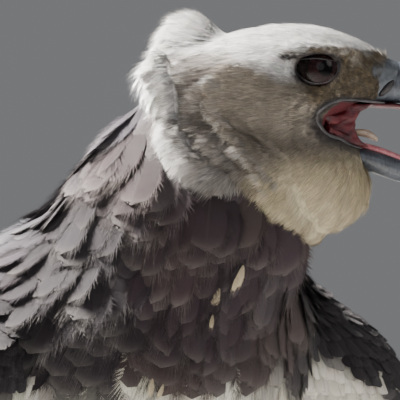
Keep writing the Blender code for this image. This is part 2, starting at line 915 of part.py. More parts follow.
def build_tail():
    back = -FORWARD * math.cos(TAIL_DROP) - UP * math.sin(TAIL_DROP)
    above = UP * math.cos(TAIL_DROP) - FORWARD * math.sin(TAIL_DROP)
    root = body(TAIL_ROOT[0], 0, TAIL_ROOT[1])
    core_path = [root + back * s for s in (-0.02, 0.03, 0.07, 0.105)]
    pieces = [tube("core", core_path, [0.036, 0.036, 0.030, 0.018], 12, flat=0.42)]
    half = TAIL_FEATHERS // 2
    for k in range(half):
        for side in SIDES.values():
            level = LAYER * (4 - 2 * k - (side > 0))
            fan = TAIL_FAN * (k + 0.5) / half * side
            way = back * math.cos(fan) + LEFT * math.sin(fan)
            start = root + back * 0.045 + LEFT * side * (0.0035 + 0.0042 * k) + above * level
            length = (TAIL_LENGTH - 0.045) * (1 - 0.012 * k)
            pieces.append(
                vane("rectrix", start, start + way * length, above, 0.054, blunt=0.88)
            )
    for k in range(3):
        for side in SIDES.values():
            level = 0.0085 + LAYER * (2 * (2 - k) + (side > 0))
            start = root + back * 0.010 + LEFT * side * (0.006 + 0.010 * k) + above * 0.008
            end = root + back * (0.150 - 0.018 * k) + LEFT * side * (0.010 + 0.017 * k) + above * level
            pieces.append(vane("tail_covert", start, end, above, 0.040))
    tail = unite("tail", pieces)
    cut(tail, [grown(torso_piece())])
    finish(tail, "barred_plumage")


def centre_over_origin():
    """Moves every node so that the floor under the middle of the model is the origin."""
    bpy.context.view_layer.update()
    nodes = [o for o in bpy.data.objects if o.type == "MESH"]
    corners = [o.matrix_world @ Vector(c) for o in nodes for c in o.bound_box]
    low = Vector(min(c[i] for c in corners) for i in range(3))
    high = Vector(max(c[i] for c in corners) for i in range(3))
    shift = Vector((-(low.x + high.x) / 2, -(low.y + high.y) / 2, -low.z))
    for node in nodes:
        node.data.transform(Matrix.Translation(shift))


def main():
    clear_scene()
    torso = finish(unite("torso", [torso_piece()]), "white_plumage")
    torso.data.name = "torso"
    neck = unite("neck", [neck_piece()])
    cut(neck, [grown(cranium_piece()), grown(throat_piece()), grown(torso_piece())])
    finish(neck, "slate_plumage")
    build_head()
    build_bill()
    for name, side in SIDES.items():
        build_leg(name, side)
        build_wing(name, side)
    build_tail()
    centre_over_origin()


main()
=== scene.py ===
import math
import time

import bmesh
import bpy
import numpy as np
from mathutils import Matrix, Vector
from mathutils.bvhtree import BVHTree
from mathutils.kdtree import KDTree


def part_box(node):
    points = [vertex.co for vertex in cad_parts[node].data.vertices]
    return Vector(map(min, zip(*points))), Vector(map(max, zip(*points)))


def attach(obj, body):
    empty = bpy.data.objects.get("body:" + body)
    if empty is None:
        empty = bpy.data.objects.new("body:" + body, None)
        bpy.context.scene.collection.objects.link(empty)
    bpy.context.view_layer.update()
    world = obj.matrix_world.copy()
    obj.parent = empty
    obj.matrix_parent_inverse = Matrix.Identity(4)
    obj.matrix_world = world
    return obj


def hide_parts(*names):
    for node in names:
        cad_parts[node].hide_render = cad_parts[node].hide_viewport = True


started = time.time()
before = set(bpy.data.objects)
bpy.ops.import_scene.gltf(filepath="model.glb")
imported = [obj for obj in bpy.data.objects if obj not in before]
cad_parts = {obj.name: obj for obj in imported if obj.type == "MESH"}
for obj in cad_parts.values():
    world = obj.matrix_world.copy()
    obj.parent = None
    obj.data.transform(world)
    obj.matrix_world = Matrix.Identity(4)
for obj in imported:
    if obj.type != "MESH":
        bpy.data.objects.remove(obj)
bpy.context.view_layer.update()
mm = 0.001
up = Vector((0, 0, 1))
rightward = Vector((0, -1, 0))  # across the head, towards its right side
sides = {"left": 1, "right": -1}


def nodeMiddle(name):
    low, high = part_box(name)
    return (low + high) / 2


eyeMiddle = (nodeMiddle("eye_left") + nodeMiddle("eye_right")) / 2
bodyTurn = math.radians(50)  # the breast is turned this far away from the bill
forward = Vector((math.cos(bodyTurn), -math.sin(bodyTurn), 0))
left = Vector((math.sin(bodyTurn), math.cos(bodyTurn), 0))
feetMiddle = Vector((eyeMiddle.x - 0.1344, eyeMiddle.y + 0.083, 0))


def headPoint(x, y, z):
    # A place in millimetres ahead of, left of and above the middle of the eyes.
    return eyeMiddle + Vector((x, y, z)) * mm


def bodyPoint(x, y, z):
    # A place in metres ahead of, left of and above the feet.
    return feetMiddle + forward * x + left * y + up * z


def say(text):
    print("harpy eagle: %.0f s, %s" % (time.time() - started, text))


# Materials


def newMaterial(name):
    made = bpy.data.materials.new(name)
    made.use_nodes = True
    return made, made.node_tree, made.node_tree.nodes["Principled BSDF"]


def plug(tree, socket, value):
    # Links a socket to another one, or sets its own number or colour.
    if isinstance(value, bpy.types.NodeSocket):
        tree.links.new(value, socket)
    else:
        socket.default_value = (*value, 1) if isinstance(value, tuple) else value


def setSockets(shader, values):
    for name, value in values.items():
        shader.inputs[name].default_value = value


def mathNode(tree, operation, *values):
    node = tree.nodes.new("ShaderNodeMath")
    node.operation = operation
    for socket, value in zip(node.inputs, values):
        plug(tree, socket, value)
    return node.outputs[0]


def ramp(tree, source, *stops):
    # A ramp between two stops, each a place with a colour or a grey.
    node = tree.nodes.new("ShaderNodeValToRGB")
    tree.links.new(source, node.inputs[0])
    for point, (place, colour) in zip(node.color_ramp.elements, stops):
        point.position = place
        point.color = (*colour, 1) if isinstance(colour, tuple) else (colour, colour, colour, 1)
    return node.outputs[0]


def mixColours(tree, factor, first, second, kind="MIX"):
    node = tree.nodes.new("ShaderNodeMix")
    node.data_type = "RGBA"
    node.blend_type = kind
    for index, value in ((0, factor), (6, first), (7, second)):
        plug(tree, node.inputs[index], value)
    return node.outputs[2]


def multiply(tree, first, second):
    return mixColours(tree, 1.0, first, second, "MULTIPLY")


def tintOf(tree):
    tint = tree.nodes.new("ShaderNodeVertexColor")
    tint.layer_name = "tint"
    return tint.outputs[0]


def noise(tree, scale, detail, stretch=(1, 1, 1)):
    place = tree.nodes.new("ShaderNodeTexCoord")
    mapping = tree.nodes.new("ShaderNodeMapping")
    mapping.inputs["Scale"].default_value = stretch
    tree.links.new(place.outputs["Object"], mapping.inputs[0])
    node = tree.nodes.new("ShaderNodeTexNoise")
    setSockets(node, {"Scale": scale, "Detail": detail})
    tree.links.new(mapping.outputs[0], node.inputs["Vector"])
    return node.outputs["Fac"]


def bumpFrom(tree, shader, height, strength, distance):
    node = tree.nodes.new("ShaderNodeBump")
    setSockets(node, {"Strength": strength, "Distance": distance})
    tree.links.new(height, node.inputs["Height"])
    tree.links.new(node.outputs[0], shader.inputs["Normal"])


plumageLook = {
    "barbs": 36.0, "barbSlant": 2.6, "barbWander": 2.4, "bump": 0.5, "roughness": 0.66, "sheen": 0.09,
    "shaft": 0.022, "shaftShare": 0.25, "shaftColour": (0.05, 0.04, 0.035),
}
fullTurn = 6.283  # radians


def plumageMaterial(name, gloss=0.0, bars=None):
    # Reads each feather's own tint, and draws its shaft and slanting barbs on the vane's map.
    made, tree, shader = newMaterial(name)
    vaneMap = tree.nodes.new("ShaderNodeUVMap")
    vaneMap.uv_map = "vane"
    split = tree.nodes.new("ShaderNodeSeparateXYZ")
    tree.links.new(vaneMap.outputs[0], split.inputs[0])
    across = mathNode(tree, "ABSOLUTE", mathNode(tree, "SUBTRACT", split.outputs[0], 0.5))
    slant = mathNode(tree, "MULTIPLY", across, plumageLook["barbSlant"])
    slanted = mathNode(tree, "SUBTRACT", split.outputs[1], slant)
    along = mathNode(tree, "MULTIPLY", slanted, plumageLook["barbs"])
    ragged = mathNode(tree, "MULTIPLY", noise(tree, 260.0, 2.0), plumageLook["barbWander"])
    wave = mathNode(tree, "SINE", mathNode(tree, "MULTIPLY", mathNode(tree, "ADD", along, ragged), fullTurn))
    lines = mathNode(tree, "MULTIPLY_ADD", wave, 0.5, 0.5)
    shaft = mathNode(tree, "LESS_THAN", across, plumageLook["shaft"])
    patches = ramp(tree, noise(tree, 70.0, 3.0), (0.3, 0.90), (0.7, 1.08))
    barbs = ramp(tree, lines, (0.0, 0.60), (1.0, 1.16))
    colour = multiply(tree, multiply(tree, tintOf(tree), patches), barbs)
    shaftShare = mathNode(tree, "MULTIPLY", shaft, plumageLook["shaftShare"])
    colour = mixColours(tree, shaftShare, colour, plumageLook["shaftColour"])
    if gloss:
        colour = multiply(tree, colour, ramp(tree, across, (0.36, 1.0), (0.5, 0.42)))
    if bars:
        wander = mathNode(tree, "MULTIPLY", noise(tree, 55.0, 2.0), bars["wander"])
        place = mathNode(tree, "ADD", split.outputs[1], wander)
        bent = mathNode(tree, "SUBTRACT", place, mathNode(tree, "MULTIPLY", across, bars["bend"]))
        band = mathNode(tree, "SINE", mathNode(tree, "MULTIPLY", bent, bars["count"] * fullTurn))
        low, high = (edge / 2 + 0.5 for edge in bars["edge"])
        share = ramp(tree, mathNode(tree, "MULTIPLY_ADD", band, 0.5, 0.5), (low, 0), (high, 1))
        colour = mixColours(tree, share, colour, bars["colour"])
    tree.links.new(colour, shader.inputs["Base Color"])
    bumpFrom(tree, shader, lines, plumageLook["bump"], 0.0006)
    setSockets(shader, {
        "Roughness": plumageLook["roughness"] - 0.25 * gloss, "Sheen Weight": plumageLook["sheen"],
        "Sheen Roughness": 0.5, "Specular IOR Level": 0.20 + 0.3 * gloss,
    })
    return made


def skinMaterial():
    made, tree, shader = newMaterial("skinUnderPlumage")
    grain = noise(tree, 420.0, 4.0)
    shade = ramp(tree, grain, (0.3, 0.55), (0.7, 1.0))
    tree.links.new(multiply(tree, tintOf(tree), shade), shader.inputs["Base Color"])
    bumpFrom(tree, shader, grain, 0.6, 0.001)
    shader.inputs["Roughness"].default_value = 0.8
    return made


def hornMaterial(name, base, tip, roughness, streaks):
    # Layered horn: fine growth lines along the piece and worn, paler patches.
    made, tree, shader = newMaterial(name)
    grain = noise(tree, 14.0, 6.0, streaks)
    worn = noise(tree, 130.0, 5.0)
    colour = ramp(tree, grain, (0.25, base), (0.75, tip))
    scuffs = ramp(tree, worn, (0.35, 0.7), (0.75, 1.25))
    tree.links.new(multiply(tree, colour, scuffs), shader.inputs["Base Color"])
    tree.links.new(ramp(tree, worn, (0.3, roughness), (0.8, roughness + 0.22)), shader.inputs["Roughness"])
    bumpFrom(tree, shader, grain, 0.25, 0.0008)
    return made


def bareSkinMaterial(name, dark, light, scale, roughness, wet, bump, tinted=False):
    # Bare skin with cells and creases, a little uneven in colour.
    made, tree, shader = newMaterial(name)
    place = tree.nodes.new("ShaderNodeTexCoord")
    cells = tree.nodes.new("ShaderNodeTexVoronoi")
    cells.inputs["Scale"].default_value = scale
    tree.links.new(place.outputs["Object"], cells.inputs["Vector"])
    colour = ramp(tree, noise(tree, scale * 0.16, 5.0), (0.3, dark), (0.7, light))
    colour = multiply(tree, colour, ramp(tree, cells.outputs["Distance"], (0.0, 1.12), (0.65, 0.72)))
    if tinted:
        colour = multiply(tree, colour, tintOf(tree))
    tree.links.new(colour, shader.inputs["Base Color"])
    bumpFrom(tree, shader, mathNode(tree, "SUBTRACT", 1.0, cells.outputs["Distance"]), bump, 0.0008)
    setSockets(shader, {"Roughness": roughness, "Coat Weight": wet, "Coat Roughness": 0.15})
    return made


def eyeMaterial():
    made, tree, shader = newMaterial("eye")
    flecks = ramp(tree, noise(tree, 900.0, 3.0), (0.35, 0.6), (0.7, (1.6, 1.4, 1.3)))
    tree.links.new(multiply(tree, tintOf(tree), flecks), shader.inputs["Base Color"])
    setSockets(shader, {
        "Roughness": 0.25, "Coat Weight": 0.50, "Coat Roughness": 0.02, "Coat IOR": 1.26,
        "Specular IOR Level": 0.06,
    })
    return made


# Dark bars across a vane: how many pairs, how ragged and bent they are, and where a bar starts and is full.
barLooks = {
    "tail": {"count": 4.5, "wander": 0.02, "bend": 0.02, "edge": (-0.28, -0.08),
             "colour": (0.010, 0.009, 0.011)},
    "thigh": {"count": 2.0, "wander": 0.05, "bend": 0.06, "edge": (0.76, 0.92),
              "colour": (0.070, 0.062, 0.062)},
    "flight": {"count": 6.0, "wander": 0.05, "bend": 0.04, "edge": (0.05, 0.45),
               "colour": (0.014, 0.013, 0.016)},
}
# Name, dark and light colour, roughness, and the stretch of the streaks.
hornLooks = {
    "bill": ("billHorn", (0.018, 0.021, 0.028), (0.078, 0.090, 0.110), 0.27, (60, 60, 8)),
    "claw": ("clawHorn", (0.006, 0.006, 0.007), (0.035, 0.034, 0.036), 0.22, (40, 40, 10)),
}
# Name, dark and light colour, cells to the metre, roughness, wetness and bump.
bareLooks = {
    "cere": ("cereSkin", (0.045, 0.052, 0.062), (0.120, 0.136, 0.156), 1500.0, 0.40, 0.2, 0.3),
    "gape": ("gapeSkin", (0.018, 0.016, 0.020), (0.060, 0.052, 0.056), 1300.0, 0.42, 0.2, 0.35),
    "lid": ("lidSkin", (0.008, 0.006, 0.008), (0.026, 0.021, 0.022), 1600.0, 0.45, 0.1, 0.3),
    "mouth": ("mouthLining", (0.030, 0.0008, 0.0040), (0.150, 0.002, 0.010), 1100.0, 0.52, 0.08, 0.3),
    "tongue": ("tongueSkin", (0.50, 0.10, 0.13), (0.78, 0.30, 0.32), 1000.0, 0.3, 0.6, 0.5),
    "glottis": ("glottisSkin", (0.42, 0.30, 0.22), (0.62, 0.50, 0.38), 1300.0, 0.35, 0.5, 0.3),
    "leg": ("legScale", (0.42, 0.27, 0.045), (0.66, 0.47, 0.11), 420.0, 0.5, 0.1, 0.8, True),
}
materials = {
    "eye": eyeMaterial(),
    "tail": plumageMaterial("tailFeather", 0.2, barLooks["tail"]),
    "thigh": plumageMaterial("thighFeather", 0.0, barLooks["thigh"]),
    "plumage": plumageMaterial("plumage"),
    "flight": plumageMaterial("flightFeather", 0.6, barLooks["flight"]),
    "covert": plumageMaterial("wingCovert", 0.3),
    "skin": skinMaterial(),
    **{key: hornMaterial(*look) for key, look in hornLooks.items()},
    **{key: bareSkinMaterial(*look) for key, look in bareLooks.items()},
}
slots = {
    "eye": "eye", "tail": "barred_plumage", "thigh": "barred_plumage", "plumage": "slate_plumage",
    "flight": "slate_plumage", "covert": "slate_plumage", "skin": "pale_plumage", "bill": "bill_horn",
    "claw": "claw_horn", "cere": "cere_skin", "gape": "cere_skin", "lid": "cere_skin",
    "mouth": "mouth_skin", "tongue": "mouth_skin", "glottis": "mouth_skin", "leg": "leg_scale",
}


# Small tools for meshes


def deselectAll():
    if bpy.context.object and bpy.context.object.mode != "OBJECT":
        bpy.ops.object.mode_set(mode="OBJECT")
    bpy.ops.object.select_all(action="DESELECT")


def makeActive(piece):
    deselectAll()
    piece.select_set(True)
    bpy.context.view_layer.objects.active = piece


def applyModifier(piece, kind, **values):
    makeActive(piece)
    step = piece.modifiers.new(kind.lower(), kind)
    for name, value in values.items():
        setattr(step, name, value)
    bpy.ops.object.modifier_apply(modifier=step.name)


def editWhole(piece, operator, **values):
    # Runs one edit mode operator on the whole of a piece.
    makeActive(piece)
    bpy.ops.object.mode_set(mode="EDIT")
    bpy.ops.mesh.select_all(action="SELECT")
    operator(**values)
    bpy.ops.object.mode_set(mode="OBJECT")


def mergeCorners(piece):
    editWhole(piece, bpy.ops.mesh.remove_doubles, threshold=0.00001)


def unwrap(piece):
    piece.data.uv_layers.new(name="OFBake")
    editWhole(piece, bpy.ops.uv.smart_project, angle_limit=math.radians(66), island_margin=0.002)


def finishPiece(piece, material, slot=None):
    # Gives a piece its finish and its body.
    piece.data.materials.clear()
    piece.data.materials.append(materials[material])
    piece.data.shade_smooth()
    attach(piece, "root")
    slot or slots[material]
    return piece


def addObject(name, data):
    made = bpy.data.objects.new(name, data)
    bpy.context.scene.collection.objects.link(made)
    return made


def nodeCopy(name):
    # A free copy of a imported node, with a mesh of its own.
    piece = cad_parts[name].copy()
    piece.data = piece.data.copy()
    piece.parent = None
    for key in list(piece.keys()):
        del piece[key]
    bpy.context.scene.collection.objects.link(piece)
    return piece


def joinPieces(pieces, name):
    deselectAll()
    for piece in pieces:
        piece.select_set(True)
    bpy.context.view_layer.objects.active = pieces[0]
    bpy.ops.object.join()
    pieces[0].name = name
    pieces[0].data.name = name
    return pieces[0]


def loft(name, rings, closed=False):
    # A mesh through rings of points, with flat ends unless the rings close on themselves.
    mesh = bmesh.new()
    rows = [[mesh.verts.new(p) for p in ring] for ring in rings]
    pairs = list(zip(rows, rows[1:])) + ([(rows[-1], rows[0])] if closed else [])
    for low, high in pairs:
        for k in range(len(low)):
            after = (k + 1) % len(low)
            mesh.faces.new((low[k], low[after], high[after], high[k]))
    if not closed:
        mesh.faces.new(rows[0])
        mesh.faces.new(rows[-1])
    bmesh.ops.recalc_face_normals(mesh, faces=mesh.faces)
    data = bpy.data.meshes.new(name)
    mesh.to_mesh(data)
    mesh.free()
    return addObject(name, data)


def smoothRows(rows, count):
    # Rows of numbers read at count even steps along a smooth curve through them.
    rows = np.array(rows, float)
    place = np.linspace(0, len(rows) - 1, count)
    i = np.clip(place.astype(int), 0, len(rows) - 2)
    t = (place - i)[:, None]
    a, b = rows[np.maximum(i - 1, 0)], rows[i]
    c, d = rows[i + 1], rows[np.minimum(i + 2, len(rows) - 1)]
    return 0.5 * (2 * b + (c - a) * t + (2 * a - 5 * b + 4 * c - d) * t**2 + (3 * b - a - 3 * c + d) * t**3)


def ovalRing(centre, across, upward, halfWidth, rise, fall, count):
    ring = []
    for k in range(count):
        turn = 2 * math.pi * (k + 0.5) / count
        reach = rise if math.cos(turn) > 0 else fall
        ring.append(centre + across * halfWidth * math.sin(turn) + upward * reach * math.cos(turn))
    return ring


def headRing(x, z, half, rise, fall, count, upward=up):
    # A ring across the head, with its sizes in millimetres.
    return ovalRing(headPoint(x, 0, z), rightward, upward, half * mm, rise * mm, fall * mm, count)


def meshArrays(piece):
    # Corner points, normals, triangles and the triangles' loops.
    data = piece.data
    data.calc_loop_triangles()
    found = []
    for rows, key, kind in (
        (data.vertices, "co", float), (data.vertex_normals, "vector", float),
        (data.loop_triangles, "vertices", int), (data.loop_triangles, "loops", int),
    ):
        values = np.empty(len(rows) * 3, kind)
        rows.foreach_get(key, values)
        found.append(values.reshape(-1, 3))
    return found


def setPoints(piece, points):
    piece.data.vertices.foreach_set("co", points.reshape(-1))
    piece.data.update()


def paintPoints(piece, tint):
    layer = piece.data.color_attributes.new("tint", "FLOAT_COLOR", "POINT")
    solid = np.concatenate([tint, np.ones((len(tint), 1))], axis=1)
    layer.data.foreach_set("color", solid.astype(np.float32).ravel())


def surfaceTree(piece):
    data = piece.data
    corners = [v.co.copy() for v in data.vertices]
    return BVHTree.FromPolygons(corners, [tuple(p.vertices) for p in data.polygons])


def unit(v):
    return v / np.maximum(np.linalg.norm(v, axis=-1, keepdims=True), 1e-9)


def smoothStep(value, low, high):
    t = np.clip((value - low) / (high - low), 0, 1)
    return t * t * (3 - 2 * t)


def near(gap, low, high):
    # 1 where the gap is under low, falling to 0 at high.
    return 1 - smoothStep(np.abs(gap), low, high)


def nearestOnLine(points, line):
    # Signed distance of each point from a line of points, positive ahead of it, and how far along it lies.
    line = smoothRows(line, 40)
    best = np.full(len(points), 1e9)
    signed = np.zeros(len(points))
    share = np.zeros(len(points))
    for i, (a, b) in enumerate(zip(line, line[1:])):
        d = b - a
        t = np.clip(((points - a) @ d) / (d @ d), 0, 1)
        gap = points - (a + t[:, None] * d)
        distance = np.linalg.norm(gap, axis=1)
        cross = d[0] * gap[:, 1] - d[1] * gap[:, 0]
        closer = distance < best
        best = np.where(closer, distance, best)
        signed = np.where(closer, np.sign(cross) * distance, signed)
        share = np.where(closer, (i + t) / (len(line) - 1), share)
    return signed, share


def lineHeight(x, line):
    return np.interp(x, *np.array(line).T)


def roughness(points, scale, seed=0.0):
    # A smooth, seeded wobble between -1 and 1 over a set of points.
    x, y, z = (points * scale + seed).T
    first = np.sin(x * 1.7 + 2.1 * np.sin(y * 1.3 + seed)) + np.sin(y * 2.3 + 1.7 * np.sin(z * 1.9))
    return (first + np.sin(z * 2.9 + 1.3 * np.sin(x * 2.1 + 0.7))) / 3


# Skin: the nodes of flesh as one surface, drawn in by the depth of the coat

skinLook = {
    "nodes": ("head", "neck", "torso", "thigh_left", "thigh_right"), "voxel": 0.0024, "smoothing": 5,
    "bodySmoothing": 30, "kept": 0.48, "headDepth": 0.0008, "bodyDepth": 0.0085, "neckDepth": 0.0035,
    "wingDepth": 0.0025, "napeRise": 3.0, "shade": 0.75, "bareBelow": 0.168,
}
# Ahead of the eye, top, bottom and half width of the head's top, in millimetres.
craniumRows = [
    (-104, 2, -18, 10), (-98, 13, -33, 28), (-86, 19, -51, 41), (-66, 21, -62, 47.5), (-44, 25, -65, 49),
    (-22, 28.7, -59, 47), (-4, 28.2, -46, 42), (10, 25.8, -33, 35), (24, 21.2, -23, 26.5),
]
# The same four for the swell under the crest.
crestCoreRows = [
    (-49, 20, 0, 18), (-55, 25, 0, 24), (-62, 30.5, -5, 29), (-70, 34, -10, 32), (-78, 33.8, -20, 33),
    (-86, 29, -26, 31), (-93, 20, -30, 25), (-99, 7, -31, 15),
]
# Ahead, out, height, half height and half thickness of each folded wing, in metres over the feet.
wingRows = [
    (0.112, 0.170, 0.540, 0.014, 0.008), (0.096, 0.176, 0.545, 0.040, 0.020),
    (0.042, 0.172, 0.545, 0.066, 0.025), (-0.030, 0.156, 0.520, 0.082, 0.024),
    (-0.105, 0.128, 0.468, 0.078, 0.020), (-0.168, 0.102, 0.416, 0.062, 0.013),
    (-0.215, 0.086, 0.376, 0.036, 0.006),
]
# Ahead, out, height and radius of each upper arm.
armRows = [
    (-0.010, 0.040, 0.634, 0.034), (0.018, 0.070, 0.622, 0.040), (0.050, 0.106, 0.604, 0.042),
    (0.078, 0.144, 0.574, 0.038), (0.092, 0.168, 0.548, 0.026),
]
wingTip = (-0.365, 0.068, 0.318)
wingLean = math.radians(32)
rightWingBack = 0.026


def wingPlace(side):
    # Turns points and directions of a wing's own plan into the bird's, on either side.
    back = rightWingBack if side < 0 else 0.0

    def put(v):
        return bodyPoint(v[0] - back, side * v[1], v[2])

    def turn(v):
        return forward * v[0] + left * side * v[1] + up * v[2]

    return put, turn


def wingStation(share):
    # Middle, outward and upward way, half height and half thickness at a share of the wing's length.
    place = min(max(share, 0.0), 1.0) * (len(wingRows) - 1)
    i = min(int(place), len(wingRows) - 2)
    t = place - i
    x, y, z, half, thick = (a + (b - a) * t for a, b in zip(wingRows[i], wingRows[i + 1]))
    ahead = (Vector(wingRows[i][:3]) - Vector(wingRows[i + 1][:3])).normalized()
    outward = Vector((0, math.cos(wingLean), math.sin(wingLean)))
    outward = (outward - ahead * outward.dot(ahead)).normalized()
    upward = ahead.cross(outward)
    if upward.z < 0:
        upward.negate()
    return Vector((x, y, z)), outward, upward, half, thick


def wingCore(side):
    put, turn = wingPlace(side)
    rings = []
    for k in range(22):
        middle, outward, upward, half, thick = wingStation(k / 21)
        rings.append(ovalRing(put(middle), turn(outward), turn(upward), thick, half, half, 24))
    return loft("wingCore", rings)


def armCore(side):
    put, _ = wingPlace(side)
    rows = smoothRows(armRows, 16)
    rings = []
    for i, row in enumerate(rows):
        ahead = put(rows[min(i + 1, 15)][:3]) - put(rows[max(i - 1, 0)][:3])
        ahead.normalize()
        across = ahead.cross(up).normalized()
        rings.append(ovalRing(put(row[:3]), across, across.cross(ahead), row[3], row[3], row[3], 20))
    return loft("armCore", rings)


def widestLevel(top, bottom):
    # Height at which the head is widest, between its top and its bottom.
    return min(max(-9, bottom + 4), top - 4)


def headCore(name, rows):
    rings = []
    for x, top, bottom, half in smoothRows(rows, 24):
        level = widestLevel(top, bottom)
        rings.append(headRing(x, level, half, top - level, level - bottom, 32))
    return loft(name, rings)


wingTrees = []


def wingShare(points):
    # 1 on the wings, falling to 0 a little way off them.
    gap = np.array([min(tree.find_nearest(p)[3] for tree in wingTrees) for p in points])
    return 1 - smoothStep(gap, 0.0035, 0.0075)


def joinedFlesh():
    pieces = [nodeCopy(name) for name in skinLook["nodes"]]
    pieces += [headCore("craniumCore", craniumRows), headCore("crestCore", crestCoreRows)]
    for side in sides.values():
        wing = [wingCore(side), armCore(side)]
        wingTrees.extend(surfaceTree(piece) for piece in wing)
        pieces += wing
    skin = joinPieces(pieces, "skin")
    mergeCorners(skin)
    return skin


# Fold lines behind the cheek, in millimetres ahead of and above the eye, with how far they stand out.
cheekFolds = [
    {"line": [(-58.5, -6), (-62.5, -14), (-57.5, -31), (-53, -39), (-45.5, -48), (-33.5, -63), (-25, -73)],
     "rise": 4.8},
    {"line": [(-66, -10), (-74.0, -29.5), (-68.5, -41.5), (-57.5, -53.5), (-44, -66)], "rise": 4.0},
]
# Front edge of the white nape, in millimetres ahead of and above the eye, as all lines on the head.
napeEdge = [
    (-90, 16), (-88.2, 6.7), (-84.9, -10.4), (-80.9, -34.0), (-74.8, -44.0), (-64.3, -55.8), (-50, -64),
]
# Where the pale head ends.
headEdge = [
    (-124, 6), (-100, -15), (-95.6, -24.5), (-91, -38), (-85, -50), (-73, -61), (-60, -66), (-46, -64),
    (-29, -78), (-8.6, -98), (0, -103), (20, -106), (60, -106),
]
# Lower edge of the brow's ridge.
browRidge = [(-24, 7.4), (-12, 8.3), (0, 8.8), (12, 9.2), (24, 8.4)]
# Where the feathers stop against the cere.
cereEdge = {"x": 38.0, "z": -17.0, "lean": 0.38}
orbitLook = {
    "x": 12.6, "z": 8.8, "flat": 7.0, "eye": 13.5, "spread": 28.2, "reach": 2.5, "deep": 12, "shelf": 3.0,
    "shelfReach": 6.5, "rim": 5.6, "slope": 5.5, "sunk": 2.6,
}


def headPlace(points):
    # Points in millimetres ahead of, left of and above the middle of the eyes.
    return (points - np.array(eyeMiddle)) / mm


def bodyPlace(points):
    # Points in metres ahead of, left of and above the feet.
    gap = points - np.array(feetMiddle)
    return np.stack([gap @ np.array(forward), gap @ np.array(left), gap[:, 2]], axis=1)


def sideView(points):
    # Points as the head's side shows them, ahead of and above the eye.
    return headPlace(points)[:, [0, 2]]


def headShare(points):
    # 1 on the head, falling to 0 over the top of the neck.
    signed, _ = nearestOnLine(sideView(points), headEdge)
    return np.clip((signed + 5) / 10, 0, 1)


def aheadOfCere(points):
    x, z = sideView(points).T
    return x - cereEdge["x"] - cereEdge["lean"] * (z - cereEdge["z"])


def orbitPlace(x, z):
    # 1 at the edge of the lids' opening, less inside it and more around it.
    tall = np.where(z > 0, orbitLook["flat"], orbitLook["z"])
    return np.hypot(x / orbitLook["x"], z / tall)


def openOrbits(points):
    # Sinks the skin behind each eyeball and slopes the face down to the lids around it.
    x, y, z = headPlace(points).T
    place = orbitPlace(x, z)
    bowl = np.sqrt(np.maximum(orbitLook["eye"] ** 2 - x * x - z * z, 0))
    ball = orbitLook["spread"] + bowl
    rimHeight = orbitLook["spread"] + orbitLook["rim"] + 0.10 * np.abs(z)
    slope = orbitLook["slope"] * np.maximum(0, place - 1) ** 0.8 * (1 + 0.25 * (x < 0))
    target = np.where(place < 1, ball - orbitLook["sunk"], rimHeight + slope)
    share = 1 - smoothStep(place, 1.15, orbitLook["reach"])
    lowered = np.minimum(np.abs(y), target * share + np.abs(y) * (1 - share))
    y = np.where(np.abs(y) > orbitLook["deep"], np.sign(y) * lowered, y)
    signed, along = nearestOnLine(sideView(points), browRidge)
    shelf = smoothStep(signed, -1.3, 0.6) * np.exp(-np.maximum(signed, 0) / orbitLook["shelfReach"])
    shelf = shelf * np.sin(np.pi * np.clip(along, 0.0, 1.0)) ** 0.5 * orbitLook["shelf"]
    y = y + np.where(np.abs(y) > orbitLook["deep"], np.sign(y) * shelf, 0.0)
    moved = points.copy()
    moved[:, 1] = eyeMiddle.y + y * mm
    return moved


def ridgeAlong(flat, line, way, reach, power):
    # A ridge that swells to a line and drops steeply past it, fading to both ends of the line.
    signed, share = nearestOnLine(flat, line)
    signed = signed * way
    step = np.where(signed > 0, np.exp(-signed / reach), -0.7 * np.exp(signed / 5))
    return step * np.sin(np.pi * np.clip(share, 0.02, 0.98)) ** power


